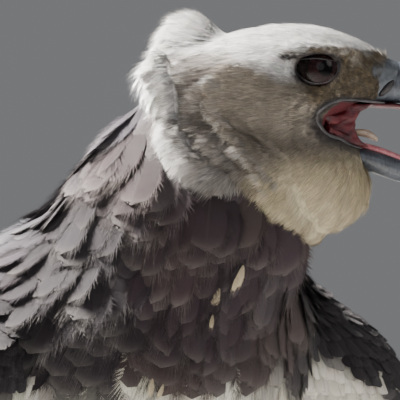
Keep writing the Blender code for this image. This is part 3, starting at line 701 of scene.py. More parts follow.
def buildSkin():
    skin = joinedFlesh()
    applyModifier(skin, "REMESH", mode="VOXEL", voxel_size=skinLook["voxel"])
    applyModifier(skin, "SMOOTH", factor=0.5, iterations=skinLook["smoothing"])
    points = meshArrays(skin)[0]
    ahead, out, height = bodyPlace(points).T
    soft = (1 - headShare(points)) * smoothStep(height, 0.40, 0.46) * near(out, 0.105, 0.13)
    soft = soft * (1 - smoothStep(height + 0.35 * ahead, 0.640, 0.680))
    group = skin.vertex_groups.new(name="body")
    for share in (0.25, 0.5, 0.75, 1.0):
        group.add(np.nonzero(np.abs(soft - share) <= 0.125)[0].tolist(), share, "REPLACE")
    applyModifier(skin, "SMOOTH", factor=0.5, iterations=skinLook["bodySmoothing"], vertex_group="body")
    skin.vertex_groups.clear()
    say("flesh remeshed")
    applyModifier(skin, "DECIMATE", ratio=skinLook["kept"])
    say("flesh thinned")
    points, normals, _, _ = meshArrays(skin)
    flat = sideView(points)
    onHead = headShare(points)
    neckDepth, bodyDepth = skinLook["neckDepth"], skinLook["bodyDepth"]
    bodyDepth = bodyDepth + (neckDepth - bodyDepth) * smoothStep(bodyPlace(points)[:, 2], 0.66, 0.71)
    depth = skinLook["headDepth"] * onHead + bodyDepth * (1 - onHead)
    depth = depth + (skinLook["wingDepth"] - depth) * wingShare(points)
    depth = np.minimum(depth, 0.002 + 0.010 * np.clip(points[:, 2] - 0.155, 0, 1) / 0.15)
    lift = -depth
    flank = smoothStep(np.abs(headPlace(points)[:, 1]), 14, 30) * smoothStep(onHead, 0.0, 0.5)
    for fold in cheekFolds:
        lift = lift + ridgeAlong(flat, fold["line"], 1, 15, 0.5) * flank * fold["rise"] * mm
    lift = lift + ridgeAlong(flat, napeEdge, -1, 12, 0.4) * flank * skinLook["napeRise"] * mm
    points = openOrbits(points + normals * lift[:, None])
    draw = 1 - 0.45 * smoothStep(aheadOfCere(points), -3.0, 3.0) * (flat[:, 1] > -30)
    middle = np.array(headPoint(0, 0, -6))
    points[:, 1] = middle[1] + (points[:, 1] - middle[1]) * draw
    lowered = middle[2] + (points[:, 2] - middle[2]) * (0.4 + 0.6 * draw)
    points[:, 2] = np.where(draw < 1, lowered, points[:, 2])
    setPoints(skin, points)
    applyModifier(skin, "SMOOTH", factor=0.4, iterations=1)
    return skin


# Markings: one set of colours for the skin and for every feather on it

# The crown is the head's pale colour brightened to near white, and the face is darker than it: painted
# highlight on top and painted shade on the side.
colours = {
    "sunlitPaleCrown": (0.92, 0.91, 0.89), "face": (0.335, 0.287, 0.228), "throat": (0.80, 0.68, 0.45),
    "nape": (0.92, 0.905, 0.88), "lore": (0.130, 0.096, 0.054), "eyeRimAndBrowShade": (0.030, 0.023, 0.024),
    "ruff": (0.38, 0.345, 0.31), "tip": (0.78, 0.75, 0.69), "bodyTip": (0.62, 0.58, 0.50),
    "shadow": (0.105, 0.078, 0.062), "wrist": (0.022, 0.016, 0.021), "gapeSkin": (0.040, 0.034, 0.036),
    "charcoal": (0.031, 0.017, 0.023), "slate": (0.190, 0.185, 0.225), "brown": (0.085, 0.052, 0.043),
    "cream": (0.47, 0.39, 0.26), "white": (0.86, 0.82, 0.71), "mouth": (0.13, 0.006, 0.013),
    "back": (0.082, 0.082, 0.094), "tailPale": (0.105, 0.102, 0.100),
    "iris": (0.013, 0.0055, 0.0065), "pupil": (0.0015, 0.0012, 0.0015), "irisRim": (0.006, 0.004, 0.004),
    "eyeBack": (0.02, 0.012, 0.010),
}
bandLook = {"low": 0.613, "ragged": 0.012}  # the dark breast band, in metres over the floor
# Lower edge of the pale crown over the lores.
browEdge = [(-30, 4), (-18.4, 7.0), (-5, 10.4), (6.7, 13.8), (20, 14.6), (28, 12.6), (38, 9.6), (60, 7)]
# Lower edge of the pale crown and its painted highlight behind the eye, which dips to the rear corner of the
# lids.
crownEdge = [
    (-100, 8), (-64, 9), (-47, 7.5), (-37, 4.0), (-29, -1.0), (-19, -5.0), (-12, -3.5), (0, 4), (40, 4),
]
# Painted shade along the lower edge of the cheek's feathers, where they lie over the neck.
cheekShadowLine = [(-52, -73), (-42, -79), (-32, -84), (-20, -91), (-10, -97)]
# Painted shade: the dark line under the brow's ridge, over the lids and out past both corners.
browShadowLine = [(-19.0, 5.2), (-11.0, 7.4), (0, 8.4), (11, 7.6), (18.5, 4.6)]
# Edges of the open gape, and the line of the lips round its corner.
gapeUpper = [(0.8, -28.2), (4.8, -22.8), (14.4, -18.9), (27.6, -18.9), (39.0, -20.0), (80, -20.5)]
gapeLower = [
    (0.8, -28.2), (3.0, -34.5), (8.2, -39.0), (14.6, -41.0), (21.0, -44.3), (29.0, -46.6), (80, -64),
]
lipLine = gapeUpper[4:0:-1] + gapeLower[:-1]


def mouthShare(points):
    # 1 inside the open mouth and 0 outside it.
    x, y, z = headPlace(points).T
    inside = (z < lineHeight(x, gapeUpper) - 0.2) & (z > lineHeight(x, gapeLower) + 0.2)
    return (inside & (x > 2.6) & (np.abs(y) < 27)).astype(float)


def blendTo(base, name, share):
    return base + (np.array(colours[name]) - base) * np.clip(share, 0, 1)[:, None]


def plain(name, count):
    return np.tile(np.array(colours[name]), (count, 1))


def headMarkings(points):
    x, y, z = headPlace(points).T
    flat = sideView(points)
    wobble = roughness(points, 60.0)
    fine = roughness(points, 230.0, 4.0)
    # Painted highlight and shade: the near white crown over the darker face.
    overCrown = z - lineHeight(x, crownEdge) + 2 * wobble
    base = blendTo(plain("face", len(points)), "sunlitPaleCrown", smoothStep(overCrown, -6, 5))
    behind, napeAlong = nearestOnLine(flat, napeEdge)
    first, second = (nearestOnLine(flat, fold["line"])[0] for fold in cheekFolds)
    flank = smoothStep(np.abs(y), 8, 20) * smoothStep(-z, -14, 2)
    base = blendTo(base, "ruff", smoothStep(-first, -1, 4) * flank)
    for name, gap, low, high, share in (
        ("shadow", first + 4.5, 1.5, 5, 0.55), ("shadow", second + 4.0, 1.5, 4.5, 0.40),
        ("tip", first - 0.8, 0.6, 2.2, 0.8), ("tip", second - 0.8, 0.6, 2.0, 0.5),
    ):
        base = blendTo(base, name, near(gap, low, high) * flank * share)
    napeFade = 1 - 0.80 * smoothStep(napeAlong, 0.60, 0.84)
    base = blendTo(base, "nape", smoothStep(-behind, -1.5, 1.5) * napeFade)
    base = blendTo(base, "shadow", near(behind - 3.5, 1.5, 6.5) * flank * 0.85)
    # Painted shade under the crest: dark streaks in the gape skin's colour.
    crestShade = smoothStep(-x, 62, 74) * near(z - 11, 4, 10) * smoothStep(behind, -6, 0)
    base = blendTo(base, "gapeSkin", crestShade * smoothStep(roughness(points, 420.0, 2.0), -0.25, 0.25) * 0.75)
    base = blendTo(base, "throat", smoothStep(-z + 0.35 * (x + 10) + 4 * wobble, 42, 70))
    # Painted shade under the cheek's lower edge.
    shadowGap, shadowAlong = nearestOnLine(flat, cheekShadowLine)
    underCheekShade = near(shadowGap, 3, 9) * (shadowAlong > 0.002) * (1 - smoothStep(shadowAlong, 0.7, 1.0))
    base = blendTo(base, "shadow", underCheekShade * (0.60 + 0.25 * fine))
    browLine = lineHeight(x, browEdge) + 1.3 * roughness(points, 260.0, 6.0)
    lore = smoothStep(x + 0.5 * z, -17, -8) * smoothStep(browLine - z, -0.8, 1.6)
    lore = lore * (1 - smoothStep(-z - 0.10 * x, 18, 33))
    base = blendTo(base, "lore", lore * (0.92 + 0.25 * fine))
    rim = 1 - smoothStep(orbitPlace(x, z), 1.08, 1.30)
    # The dark skin round the lids' opening, with the painted shade under the brow's ridge.
    corners, share = nearestOnLine(flat, browShadowLine)
    rim = np.maximum(rim, near(corners, 0.6, 1.7) * (np.abs(share - 0.5) < 0.495))
    base = blendTo(base, "eyeRimAndBrowShade", rim * smoothStep(np.abs(y), 18, 24))
    lips, _ = nearestOnLine(flat, lipLine)
    below = np.where(z < -29, 2.2, 1.0)
    bare = near(lips, 1.2 * below, 4.2 * below) * smoothStep(np.abs(y), 8, 14)
    return blendTo(base, "gapeSkin", bare * 0.9)


def leanAhead(points):
    # How far ahead a place lies, with the neck's own lean taken out.
    ahead, _, height = bodyPlace(points).T
    return ahead - 0.42 * np.maximum(0, height - 0.60)


def bodyMarkings(points):
    ahead, out, height = bodyPlace(points).T
    wide = np.abs(out)
    body = plain("charcoal", len(points))
    lean = leanAhead(points)
    body = blendTo(body, "brown", smoothStep(roughness(points, 24.0, 3.0), -0.2, 0.9) * 0.6)
    slate = smoothStep(0.6 * roughness(points, 22.0, 8.0) - 9.0 * (lean - 0.035), -0.2, 1.0)
    body = blendTo(body, "slate", slate * 0.95)
    low = bandLook["low"] + bandLook["ragged"] * roughness(points, 90.0, 5.0)
    low = low + 0.10 * np.maximum(0, wide - 0.10)
    belly = smoothStep(0.632 * (ahead + 0.016) - 0.775 * (height - 0.552), -0.045, -0.010)
    body = blendTo(body, "back", (1 - smoothStep(lean, -0.03, 0.03)) * (1 - belly))
    body = blendTo(body, "white", smoothStep(low - height, -0.002, 0.004) * belly)
    wing = wingShare(points) * smoothStep(wide, 0.065, 0.095)
    innerEdge = 0.607 - 0.62 * np.maximum(0, wide - 0.099) + 0.005 * roughness(points, 60.0)
    inner = smoothStep(innerEdge - height, -0.003, 0.003)
    inner = inner * smoothStep(ahead, 0.035, 0.060) * (1 - smoothStep(wide, 0.168, 0.180))
    body = blendTo(body, "back", wing * (1 - inner))
    shoulder = smoothStep(wide, 0.045, 0.070) * smoothStep(ahead, 0.045, 0.065)
    shoulder = np.maximum(wing, shoulder * smoothStep(height, 0.590, 0.605)) * (1 - inner * wing)
    return blendTo(body, "wrist", shoulder * smoothStep(ahead, -0.01, 0.05) * (height > 0.5))


def markings(points):
    # The bird's colours at points on or near its surface.
    base = headMarkings(points)
    base = base + (bodyMarkings(points) - base) * (1 - headShare(points))[:, None]
    return blendTo(base, "mouth", mouthShare(points))


# The lie of the coat

crownRoot = headPoint(50, 0, -12)
tailRoot = bodyPoint(-0.300, 0, 0.330)
headHeart = headPoint(-40, 0, 20)


def flow(points, normals):
    # The way that feathers point at each place: back from the bill, down the neck and on to the tail.
    down = np.array((0, 0, -1.0))
    behindBill = smoothStep(-headPlace(points)[:, 0], 74, 100)[:, None]
    fromBill = unit(points - np.array(crownRoot)) + down * 1.1 * behindBill
    fromHead = unit(unit(points - np.array(headHeart)) + down * 0.35)
    toTail = unit(np.array(tailRoot) - points)
    ahead, _, height = bodyPlace(points).T
    head = headShare(points)[:, None]
    far = smoothStep(0.60 - height + 0.5 * np.maximum(0, 0.02 - ahead), 0.0, 0.14)[:, None]
    way = fromHead * (1 - far) + toTail * far
    front = smoothStep(normals @ np.array(forward), -0.15, 0.55) * smoothStep(0.62 - height, 0.0, 0.08)
    way = way + down * 1.5 * front[:, None]
    leg = (smoothStep(0.42 - height, 0, 0.08) * smoothStep(ahead, -0.16, -0.11))[:, None]
    way = way * (1 - leg) + down * leg
    way = way * (1 - head) + fromBill * head
    return unit(way - normals * np.sum(way * normals, axis=1, keepdims=True))


# Feathers: each kind is one small template, copied in bulk with its own length, width, turn and tint

vaneShape = {
    "rows": [0.0, 0.22, 0.44, 0.62, 0.76, 0.86, 0.93, 0.975, 1.0],
    "half": [0.26, 0.70, 0.96, 1.0, 0.95, 0.85, 0.68, 0.47, 0.20],
    "across": (-1.0, -0.52, 0.0, 0.52, 1.0), "cup": -0.17, "sweep": 0.05,
}


def templateArrays(corners, triangles, shade):
    return np.array(corners, float), np.array(triangles, int), np.array(shade)


def vaneTemplate(seed, barbs, fray, web=1.0, pale=1.35):
    # A contour feather: a curved sheet with loose barbs along its outer edge. Corners, triangles and shades.
    draw = np.random.default_rng(seed)
    rows, columns, cup, sweep = (vaneShape[key] for key in ("rows", "across", "cup", "sweep"))
    half = [w * web for w in vaneShape["half"]]
    base = 0.55 / barbs
    wide = len(columns)
    corners, triangles, shade = [], [], []
    # Painted shade: each vane darkens towards its root, where the feathers over it shade it.
    for v, w in zip(rows, half):
        for u in columns:
            corners.append((u * w, v - sweep * u * u * v, cup * (u * w) ** 2))
            shade.append(0.50 + 0.58 * v)
    for r in range(len(rows) - 1):
        for c in range(wide - 1):
            a = r * wide + c
            triangles += [(a, a + 1, a + wide + 1), (a, a + wide + 1, a + wide)]
    for side in (-1, 1):
        for t in np.linspace(0.34, 0.995, barbs // 2):
            w = float(np.interp(t, rows, half))
            slant = float(0.25 + 0.9 * smoothStep(t, 0.5, 1.0))
            reach = fray * draw.uniform(0.35, 1.25) * (0.5 + 0.7 * t)
            u0, v0 = side * w * 0.86, t - sweep * t * w * w - 0.02
            aim = np.array((side * (1.18 - slant) * 1.5, 0.35 + slant * 0.55)) + draw.normal(0, 0.20, 2)
            start = len(corners)
            down = cup * u0 * u0
            corners += [
                (u0, v0 - base, down), (u0 * 0.97, v0 + base, down),
                (u0 + aim[0] * reach, v0 + aim[1] * reach, down + draw.uniform(-0.06, 0.10)),
            ]
            shade += [0.50 + 0.58 * t, 0.50 + 0.58 * t, draw.uniform(0.80, pale)]
            triangles.append((start, start + 1, start + 2) if side > 0 else (start + 1, start, start + 2))
    return templateArrays(corners, triangles, shade)


def tuftTemplate(seed, blades, fan=1.0):
    # A small tuft: thin blades that fan from one root, each with its own shade.
    draw = np.random.default_rng(seed)
    corners, triangles, shade = [], [], []
    for k in range(blades):
        side = (k + 0.5) / blades * 2 - 1 + draw.uniform(-0.15, 0.15)
        reach = draw.uniform(0.66, 1.0) * (1 - 0.22 * side * side)
        lift = draw.uniform(-0.05, 0.20)
        thick = draw.uniform(0.07, 0.12)
        bend = draw.uniform(-0.12, 0.12)
        tone = draw.uniform(0.70, 1.22)
        a = len(corners)
        root, middle = side * 0.42, side * (0.42 + 0.38 * fan)
        corners += [
            (root - thick, 0, 0), (root + thick, 0, 0),
            (middle - thick * 0.9 + bend, reach * 0.55, lift * 0.5 + 0.05),
            (middle + thick * 0.9 + bend, reach * 0.55, lift * 0.5 + 0.05),
            (side * (0.42 + 0.60 * fan), reach, lift),
        ]
        shade += [tone * 0.72, tone * 0.72, tone, tone, tone * 1.1]
        triangles += [(a, a + 1, a + 3), (a, a + 3, a + 2), (a + 2, a + 3, a + 4)]
    return templateArrays(corners, triangles, shade)


quillShape = {
    "across": (-1.0, -0.6, -0.25, 0.0, 0.25, 0.6, 1.0), "cup": -0.10, "shaft": 0.05, "thick": 0.012,
    "sweep": 0.03, "slivers": 26, "tip": 0.10,
}


def quillTemplate(seed, rows, blunt, notch):
    # A closed, curved vane with its shaft, for flight and tail feathers and their coverts.
    draw = np.random.default_rng(seed)
    across, cup, thick, sweep = (quillShape[key] for key in ("across", "cup", "thick", "sweep"))
    corners, triangles = [], []
    wide = len(across)

    def halfWidth(t):
        swell = 0.30 + 0.70 * math.sin(math.pi / 2 * min(t / 0.42, 1.0))
        close = math.sqrt(max(0.0, 1 - ((t - blunt) / (1 - blunt)) ** 2)) if t > blunt else 1.0
        return swell * max(close, quillShape["tip"])

    for face in (1, -1):
        for r in range(rows + 1):
            t = r / rows
            w = halfWidth(t) * (1 - notch * draw.uniform(0, 1) * (abs(math.sin(r * 2.1)) > 0.8))
            for u in across:
                lift = cup * (u * w) ** 2 + (quillShape["shaft"] if abs(u) < 0.1 else 0.0)
                corners.append((u * w, t - sweep * u * u * t, lift + thick * face))
    layer = (rows + 1) * wide
    for r in range(rows):
        for c in range(wide - 1):
            a = r * wide + c
            triangles += [(a, a + 1, a + wide + 1), (a, a + wide + 1, a + wide)]
            b = a + layer
            triangles += [(b, b + wide + 1, b + 1), (b, b + wide, b + wide + 1)]
        for a, b in ((r * wide, (r + 1) * wide), ((r + 1) * wide + wide - 1, r * wide + wide - 1)):
            triangles += [(a, b, b + layer), (a, b + layer, a + layer)]
    for c in range(wide - 1):
        a, b = rows * wide + c, c
        triangles += [(a, a + 1, a + 1 + layer), (a, a + 1 + layer, a + layer)]
        triangles += [(b + 1, b, b + layer), (b + 1, b + layer, b + 1 + layer)]
    for side in (-1, 1):
        for t in np.linspace(0.22, 0.985, quillShape["slivers"]):
            w = halfWidth(t) * 0.97
            start = len(corners)
            down = cup * w * w
            reach = draw.uniform(0.04, 0.13)
            corners += [
                (side * w, t - sweep - thick, down), (side * w, t - sweep + thick, down),
                (side * (w + reach), t + 0.05 * draw.uniform(0.5, 1.2), down - 0.02),
            ]
            triangles.append((start, start + 1, start + 2))
    return templateArrays(corners, triangles, 0.80 + 0.25 * np.clip(np.array(corners)[:, 1], 0, 1))


templates = {
    "vane": [vaneTemplate(20 + i, 30, 0.18) for i in range(5)],
    "down": [vaneTemplate(30 + i, 70, 0.32, 0.94) for i in range(5)],
    "plume": [vaneTemplate(40 + i, 170, 0.30, 0.90, 1.5) for i in range(6)],
    "tuft": [tuftTemplate(80 + i, 7) for i in range(8)],
    "hair": [tuftTemplate(90 + i, 9, 0.7) for i in range(8)],
    "flight": [quillTemplate(100 + i, 16, 0.86, 0.0) for i in range(3)],
    "quill": [quillTemplate(110 + i, 10, 0.62, 0.10) for i in range(4)],
}
bakePatch = 0.003  # a feather's patch on the skin's map


def bulkMesh(name, corners, triangles, tint, vaneMap, bakeMap):
    # One mesh object from arrays, with its tint and its two maps.
    data = bpy.data.meshes.new(name)
    count = len(triangles)
    data.vertices.add(len(corners))
    data.vertices.foreach_set("co", corners.astype(np.float32).ravel())
    data.loops.add(count * 3)
    data.loops.foreach_set("vertex_index", triangles.astype(np.int32).ravel())
    data.polygons.add(count)
    data.polygons.foreach_set("loop_start", np.arange(0, count * 3, 3, dtype=np.int32))
    data.update(calc_edges=True)
    made = addObject(name, data)
    paintPoints(made, tint)
    for mapName, values in (("OFBake", bakeMap), ("vane", vaneMap)):
        uv = data.uv_layers.new(name=mapName)
        uv.data.foreach_set("uv", values[triangles.ravel()].astype(np.float32).ravel())
    data.uv_layers.active = data.uv_layers["OFBake"]
    return made


def turned(first, second, angle):
    # A pair of square directions, turned from the first towards the second.
    c, s = np.cos(angle)[:, None], np.sin(angle)[:, None]
    return first * c + second * s, second * c - first * s


def feathers(
    name, kind, roots, ways, normals, lengths, widths, tints, rootMap, seed,
    tilt=0.14, curl=0.05, tipTint=None, jitter=0.10,
):
    # Copies one kind of feather to every root. tilt lifts the tip off the body and curl bends it back down.
    draw = np.random.default_rng(seed)
    count = len(roots)
    lengths = np.broadcast_to(lengths, (count,)) * draw.uniform(1 - 1.4 * jitter, 1 + 1.4 * jitter, count)
    widths = np.broadcast_to(widths, (count,)) * draw.uniform(1 - 1.2 * jitter, 1 + 1.2 * jitter, count)
    loose = max(jitter - 0.05, 0.0)
    loosened = loose * (0.2 * draw.normal(0, 1, count) + 0.4 * draw.uniform(0, 1, count))
    tilts = np.broadcast_to(tilt, (count,)) + loosened
    ways, across = turned(ways, unit(np.cross(ways, normals)), draw.normal(0, jitter, count))
    across, over = turned(across, normals, draw.normal(0, jitter, count))
    pick = draw.integers(0, len(templates[kind]), count)
    made = []
    start = 0
    for index, (shape, faces, tone) in enumerate(templates[kind]):
        use = np.nonzero(pick == index)[0]
        if not len(use):
            continue
        u, v, h = shape.T
        half = widths[use][:, None] / 2
        long = lengths[use][:, None]
        rise = h[None] * half + long * (tilts[use][:, None] * v[None] - curl * v[None] ** 2)
        corners = (
            roots[use][:, None]
            + ways[use][:, None] * (long * v[None])[..., None]
            + across[use][:, None] * (half * u[None])[..., None]
            + over[use][:, None] * rise[..., None]
        )
        paint = tints[use][:, None] * tone[None, :, None]
        if tipTint is not None:
            share = smoothStep(np.hypot(np.abs(u) * 0.55, v), 0.80, 1.0)[None, :, None]
            paint = paint + (tipTint[use][:, None] - paint) * share * 0.8
        vane = np.stack([np.clip(u * 0.5 + 0.5, 0, 1), np.clip(v, 0, 1)], axis=1)
        patch = rootMap[use][:, None] + (vane[None] - 0.5) * bakePatch
        offsets = start + np.arange(len(use)) * len(shape)
        shifted = faces[None] + offsets[:, None, None]
        made.append((
            corners.reshape(-1, 3), shifted.reshape(-1, 3), paint.reshape(-1, 3), np.tile(vane, (len(use), 1)),
            patch.reshape(-1, 2),
        ))
        start += len(use) * len(shape)
    return bulkMesh(name, *(np.concatenate(part) for part in zip(*made)))


def mapOf(piece):
    # The piece's map at each of its loops.
    values = np.empty(len(piece.data.loops) * 2)
    piece.data.uv_layers["OFBake"].data.foreach_get("uv", values)
    return values.reshape(-1, 2)


def pointTree(points):
    tree = KDTree(len(points))
    for index, point in enumerate(points):
        tree.insert(point, index)
    tree.balance()
    return tree


def spreadRoots(spacing, seed):
    # Roots spread over the skin, no closer than the spacing asked for at each place.
    draw = np.random.default_rng(seed)
    points, normals, triangles, loops = meshArrays(skin)
    a, b, c = (points[triangles[:, i]] for i in range(3))
    area = np.linalg.norm(np.cross(b - a, c - a), axis=1) / 2
    gap = spacing((a + b + c) / 3)
    wanted = np.where(gap > 0, area / np.maximum(gap, 1e-4) ** 2, 0)
    tries = int(wanted.sum() * 3.2)
    pick = draw.choice(len(triangles), tries, p=wanted / wanted.sum())
    s, t = draw.uniform(size=tries), draw.uniform(size=tries)
    s, t = np.where(s + t > 1, 1 - s, s), np.where(s + t > 1, 1 - t, t)
    weights = np.stack([1 - s - t, s, t], axis=1)[..., None]
    at = (points[triangles[pick]] * weights).sum(1)
    facing = unit((normals[triangles[pick]] * weights).sum(1))
    reach = gap[pick] * 0.78
    place = (mapOf(skin)[loops[pick]] * weights).sum(1)
    tree = pointTree(at)
    free = np.ones(tries, bool)
    kept = []
    for i in range(tries):
        if free[i]:
            kept.append(i)
            for _, j, _ in tree.find_range(at[i], reach[i]):
                free[j] = False
    kept = np.array(kept)
    return at[kept], facing[kept], place[kept]


skin = buildSkin()
unwrap(skin)
skinPoints = meshArrays(skin)[0]
# Painted shade: the skin takes the coat's colours darkened to three quarters, as it lies in shade between the
# feathers.
paintPoints(skin, markings(skinPoints) * skinLook["shade"])
finishPiece(skin, "skin")
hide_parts("head", "crest", "neck", "torso", "thigh_left", "thigh_right", "wing_left", "wing_right")
say("skin has %d faces" % len(skin.data.polygons))
skinSurface = surfaceTree(skin)
bareNodes = ("cere", "bill_upper", "bill_lower", "mouth_lining", "tongue")
bareTrees = [surfaceTree(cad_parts[name]) for name in bareNodes]


def isInside(tree, point):
    # Counts how often a ray from the point leaves or enters the closed surface.
    way = Vector((0.1, 1.0, 0.2)).normalized()
    crossings = 0
    here = Vector(point)
    while crossings < 12:
        hit = tree.ray_cast(here, way)[0]
        if hit is None:
            break
        crossings += 1
        here = hit + way * 0.00001
    return crossings % 2 == 1


def clearOfBare(points, margin):
    # False inside the bill's parts or within the margin of them.
    clear = np.ones(len(points), bool)
    for i, p in enumerate(points):
        for tree in bareTrees:
            distance = tree.find_nearest(p)[3]
            if distance < margin or distance < 0.02 and isInside(tree, p):
                clear[i] = False
                break
    return clear


# Coats: each region of feathers, with its spacing, length and width in metres


def tiltToStand(roots, ways, normals, lengths, stand, curl):
    # The tilt that leaves each feather's tip standing this far off the skin under it.
    lengths = np.broadcast_to(lengths, (len(roots),))
    tips = roots + ways * lengths[:, None]
    under = np.array([tuple(skinSurface.find_nearest(tip)[0]) for tip in tips])
    off = np.sum((tips - under) * normals, axis=1)
    return np.clip((stand - off) / lengths + curl, -0.7, 0.7)


def lay(
    name, kind, found, lengths, widths, seed,
    material="plumage", tint=None, stand=None, slot=None, **ways,
):
    # Lays one kind of feather along the coat's flow. stand, where given, sets each feather's tilt.
    roots, normals, place = found
    draw = np.random.default_rng(seed + 1000)
    tints = markings(roots) if tint is None else tint
    tints = tints * draw.uniform(0.80, 1.14, (len(roots), 1)) * (1 + draw.normal(0, 0.02, (len(roots), 3)))
    sunk = roots - normals * np.minimum(0.0008, 0.03 * np.broadcast_to(lengths, (len(roots),)))[:, None]
    lies = flow(roots, normals)
    if stand is not None:
        ways["tilt"] = tiltToStand(sunk, lies, normals, lengths, stand, ways["curl"])
    made = feathers(name, kind, sunk, lies, normals, lengths, widths, tints, place, seed, **ways)
    finishPiece(made, material, slot)
    say("%s has %d feathers, %d faces" % (name, len(roots), len(made.data.polygons)))


headCoat = {
    "faceGap": 0.00138, "crownGap": 0.0016, "faceLength": 0.0105, "crownLength": 0.012,
    "throatLength": 0.013, "loreLength": 0.0050, "lipLength": 0.0034, "lidLength": 0.0030, "width": 0.0036,
    "tilt": 0.13, "clear": 0.0012, "faceBack": -42, "faceTop": 10,
}


def headRegion(points):
    x, y, z = headPlace(points).T
    onEye = (orbitPlace(x, z) < 1.10) & (np.abs(y) > 18)
    on = (headShare(points) > 0.35) & ~onEye & (mouthShare(points) < 0.5)
    return on & ((aheadOfCere(points) < -0.8) | (z < -40))


def headLengths(points):
    x, y, z = headPlace(points).T
    face = headCoat["faceLength"]
    length = np.full(len(points), face)
    length = length + (headCoat["crownLength"] - face) * smoothStep(z, 4, 14)
    length = length + (headCoat["throatLength"] - face) * smoothStep(-z + 0.3 * x, 44, 70)
    length = length + 0.007 * smoothStep(-x, 48, 62)
    length = length + (headCoat["loreLength"] - length) * near(np.hypot(x - 18, z + 6), 18, 34)
    lips, _ = nearestOnLine(sideView(points), lipLine)
    length = length + (headCoat["lipLength"] - length) * near(lips, 2.5, 8.0)
    onLids = near(orbitPlace(x, z), 1.1, 1.9) * (np.abs(y) > 18)
    return length + (headCoat["lidLength"] - length) * onLids


def headTufts(name, onFace, gap, seed):
    def spacing(points):
        x, z = sideView(points).T
        face = (x > headCoat["faceBack"]) & (z < headCoat["faceTop"])
        return np.where(headRegion(points) & (face == onFace), gap, 0.0)

    found = spreadRoots(spacing, seed)
    clear = clearOfBare(found[0], headCoat["clear"])
    found = tuple(part[clear] for part in found)
    lengths = headLengths(found[0])
    x, z = sideView(found[0]).T
    speckled = smoothStep(x, -24, 0) * smoothStep(14 - z, 0, 4) * (1 - smoothStep(-z, 30, 44))
    speckle = 1 + 0.42 * speckled * np.random.default_rng(seed).normal(0, 1, len(lengths))
    tint = markings(found[0]) * np.clip(speckle, 0.35, 2.2)[:, None]
    widths = headCoat["width"] * (0.55 + 45 * lengths)
    lay(name, "tuft", found, lengths, widths, seed, tint=tint, slot="pale_plumage", tilt=headCoat["tilt"])


headTufts("faceTufts", True, headCoat["faceGap"], 1)
headTufts("crownTufts", False, headCoat["crownGap"], 2)


def isThigh(points):
    ahead, out, height = bodyPlace(points).T
    top = np.minimum(0.405, 0.43 - 0.2 * np.maximum(0, -ahead - 0.06))
    return (height < top) & (ahead > -0.115) & (np.abs(out) > 0.018)


def isNeck(points):
    ahead, _, height = bodyPlace(points).T
    return height + 0.35 * ahead > 0.615


def onWing(points):
    return wingShare(points) > 0.5


def onWrist(points):
    ahead, _, height = bodyPlace(points).T
    return onWing(points) & (ahead - 0.4 * (height - 0.56) > 0.040)


# Kind of feather, spacing, length, width, how far its tip stands off, curl, seed and share of pale tip.
bodyCoat = {
    "neckFeathers": ("plume", 0.0094, 0.037, 0.030, 0.0060, 0.13, 3, 0.18),
    "bodyFeathers": ("down", 0.0125, 0.046, 0.027, 0.0050, 0.12, 4, 0.18),
    "thighFeathers": ("vane", 0.0080, 0.030, 0.014, 0.0034, 0.10, 5, 0.18),
    "wristCoverts": ("down", 0.0060, 0.019, 0.0130, 0.0018, 0.07, 6, 0.04),
    "wingCoverts": ("vane", 0.0105, 0.034, 0.024, 0.0030, 0.08, 7, 0.18),
}
bodyRegions = {
    "neckFeathers": lambda p: isNeck(p) & ~onWing(p),
    "bodyFeathers": lambda p: ~isNeck(p) & ~isThigh(p) & ~onWing(p),
    "thighFeathers": lambda p: isThigh(p) & ~onWing(p),
    "wristCoverts": onWrist,
    "wingCoverts": lambda p: onWing(p) & ~onWrist(p),
}


def bodyFeathers(name, look, **finish):
    kind, gap, length, width, stand, curl, seed, pale = look

    def spacing(points):
        keep = (headShare(points) < 0.15) & (points[:, 2] > skinLook["bareBelow"])
        return np.where(keep & bodyRegions[name](points), gap, 0.0)

    found = spreadRoots(spacing, seed)
    tints = markings(found[0])
    share = np.random.default_rng(seed).uniform(0, pale, (len(tints), 1))
    tips = tints + (np.array(colours["bodyTip"]) - tints) * share
    stand = stand * (0.45 + 0.55 * smoothStep(leanAhead(found[0]), -0.05, 0.01))
    lay(name, kind, found, length, width, seed, stand=stand, tipTint=tips, curl=curl, **finish)


bodyFinish = {"bodyFeathers": {"slot": "white_plumage"}, "thighFeathers": {"material": "thigh"}}
for name, look in bodyCoat.items():
    bodyFeathers(name, look, **bodyFinish.get(name, {}))


# Long feathers placed one by one: ruff, crest, wing coverts, flight feathers and tail

skinTree = pointTree(skinPoints)
skinMap = np.zeros((len(skinPoints), 2))
loopCorners = np.empty(len(skin.data.loops), int)
skin.data.loops.foreach_get("vertex_index", loopCorners)
skinMap[loopCorners] = mapOf(skin)


def placed(name, kind, rows, slot, seed, material="plumage", **ways):
    # Takes rows of root, tip, outward way, width and tint.
    roots, ends, outward, widths, tints = (np.array(part) for part in zip(*rows))
    way = unit(ends - roots)
    outward = unit(outward)
    outward = unit(outward - way * np.sum(outward * way, axis=1, keepdims=True))
    lengths = np.linalg.norm(ends - roots, axis=1)
    place = np.array([skinMap[skinTree.find(p)[1]] for p in roots])
    made = feathers(name, kind, roots, way, outward, lengths, widths, tints, place, seed, **ways)
    finishPiece(made, material, slot)
    say("%s has %d feathers" % (name, len(rows)))


def castOnSkin(start, way):
    return skinSurface.ray_cast(start, way)[:2]


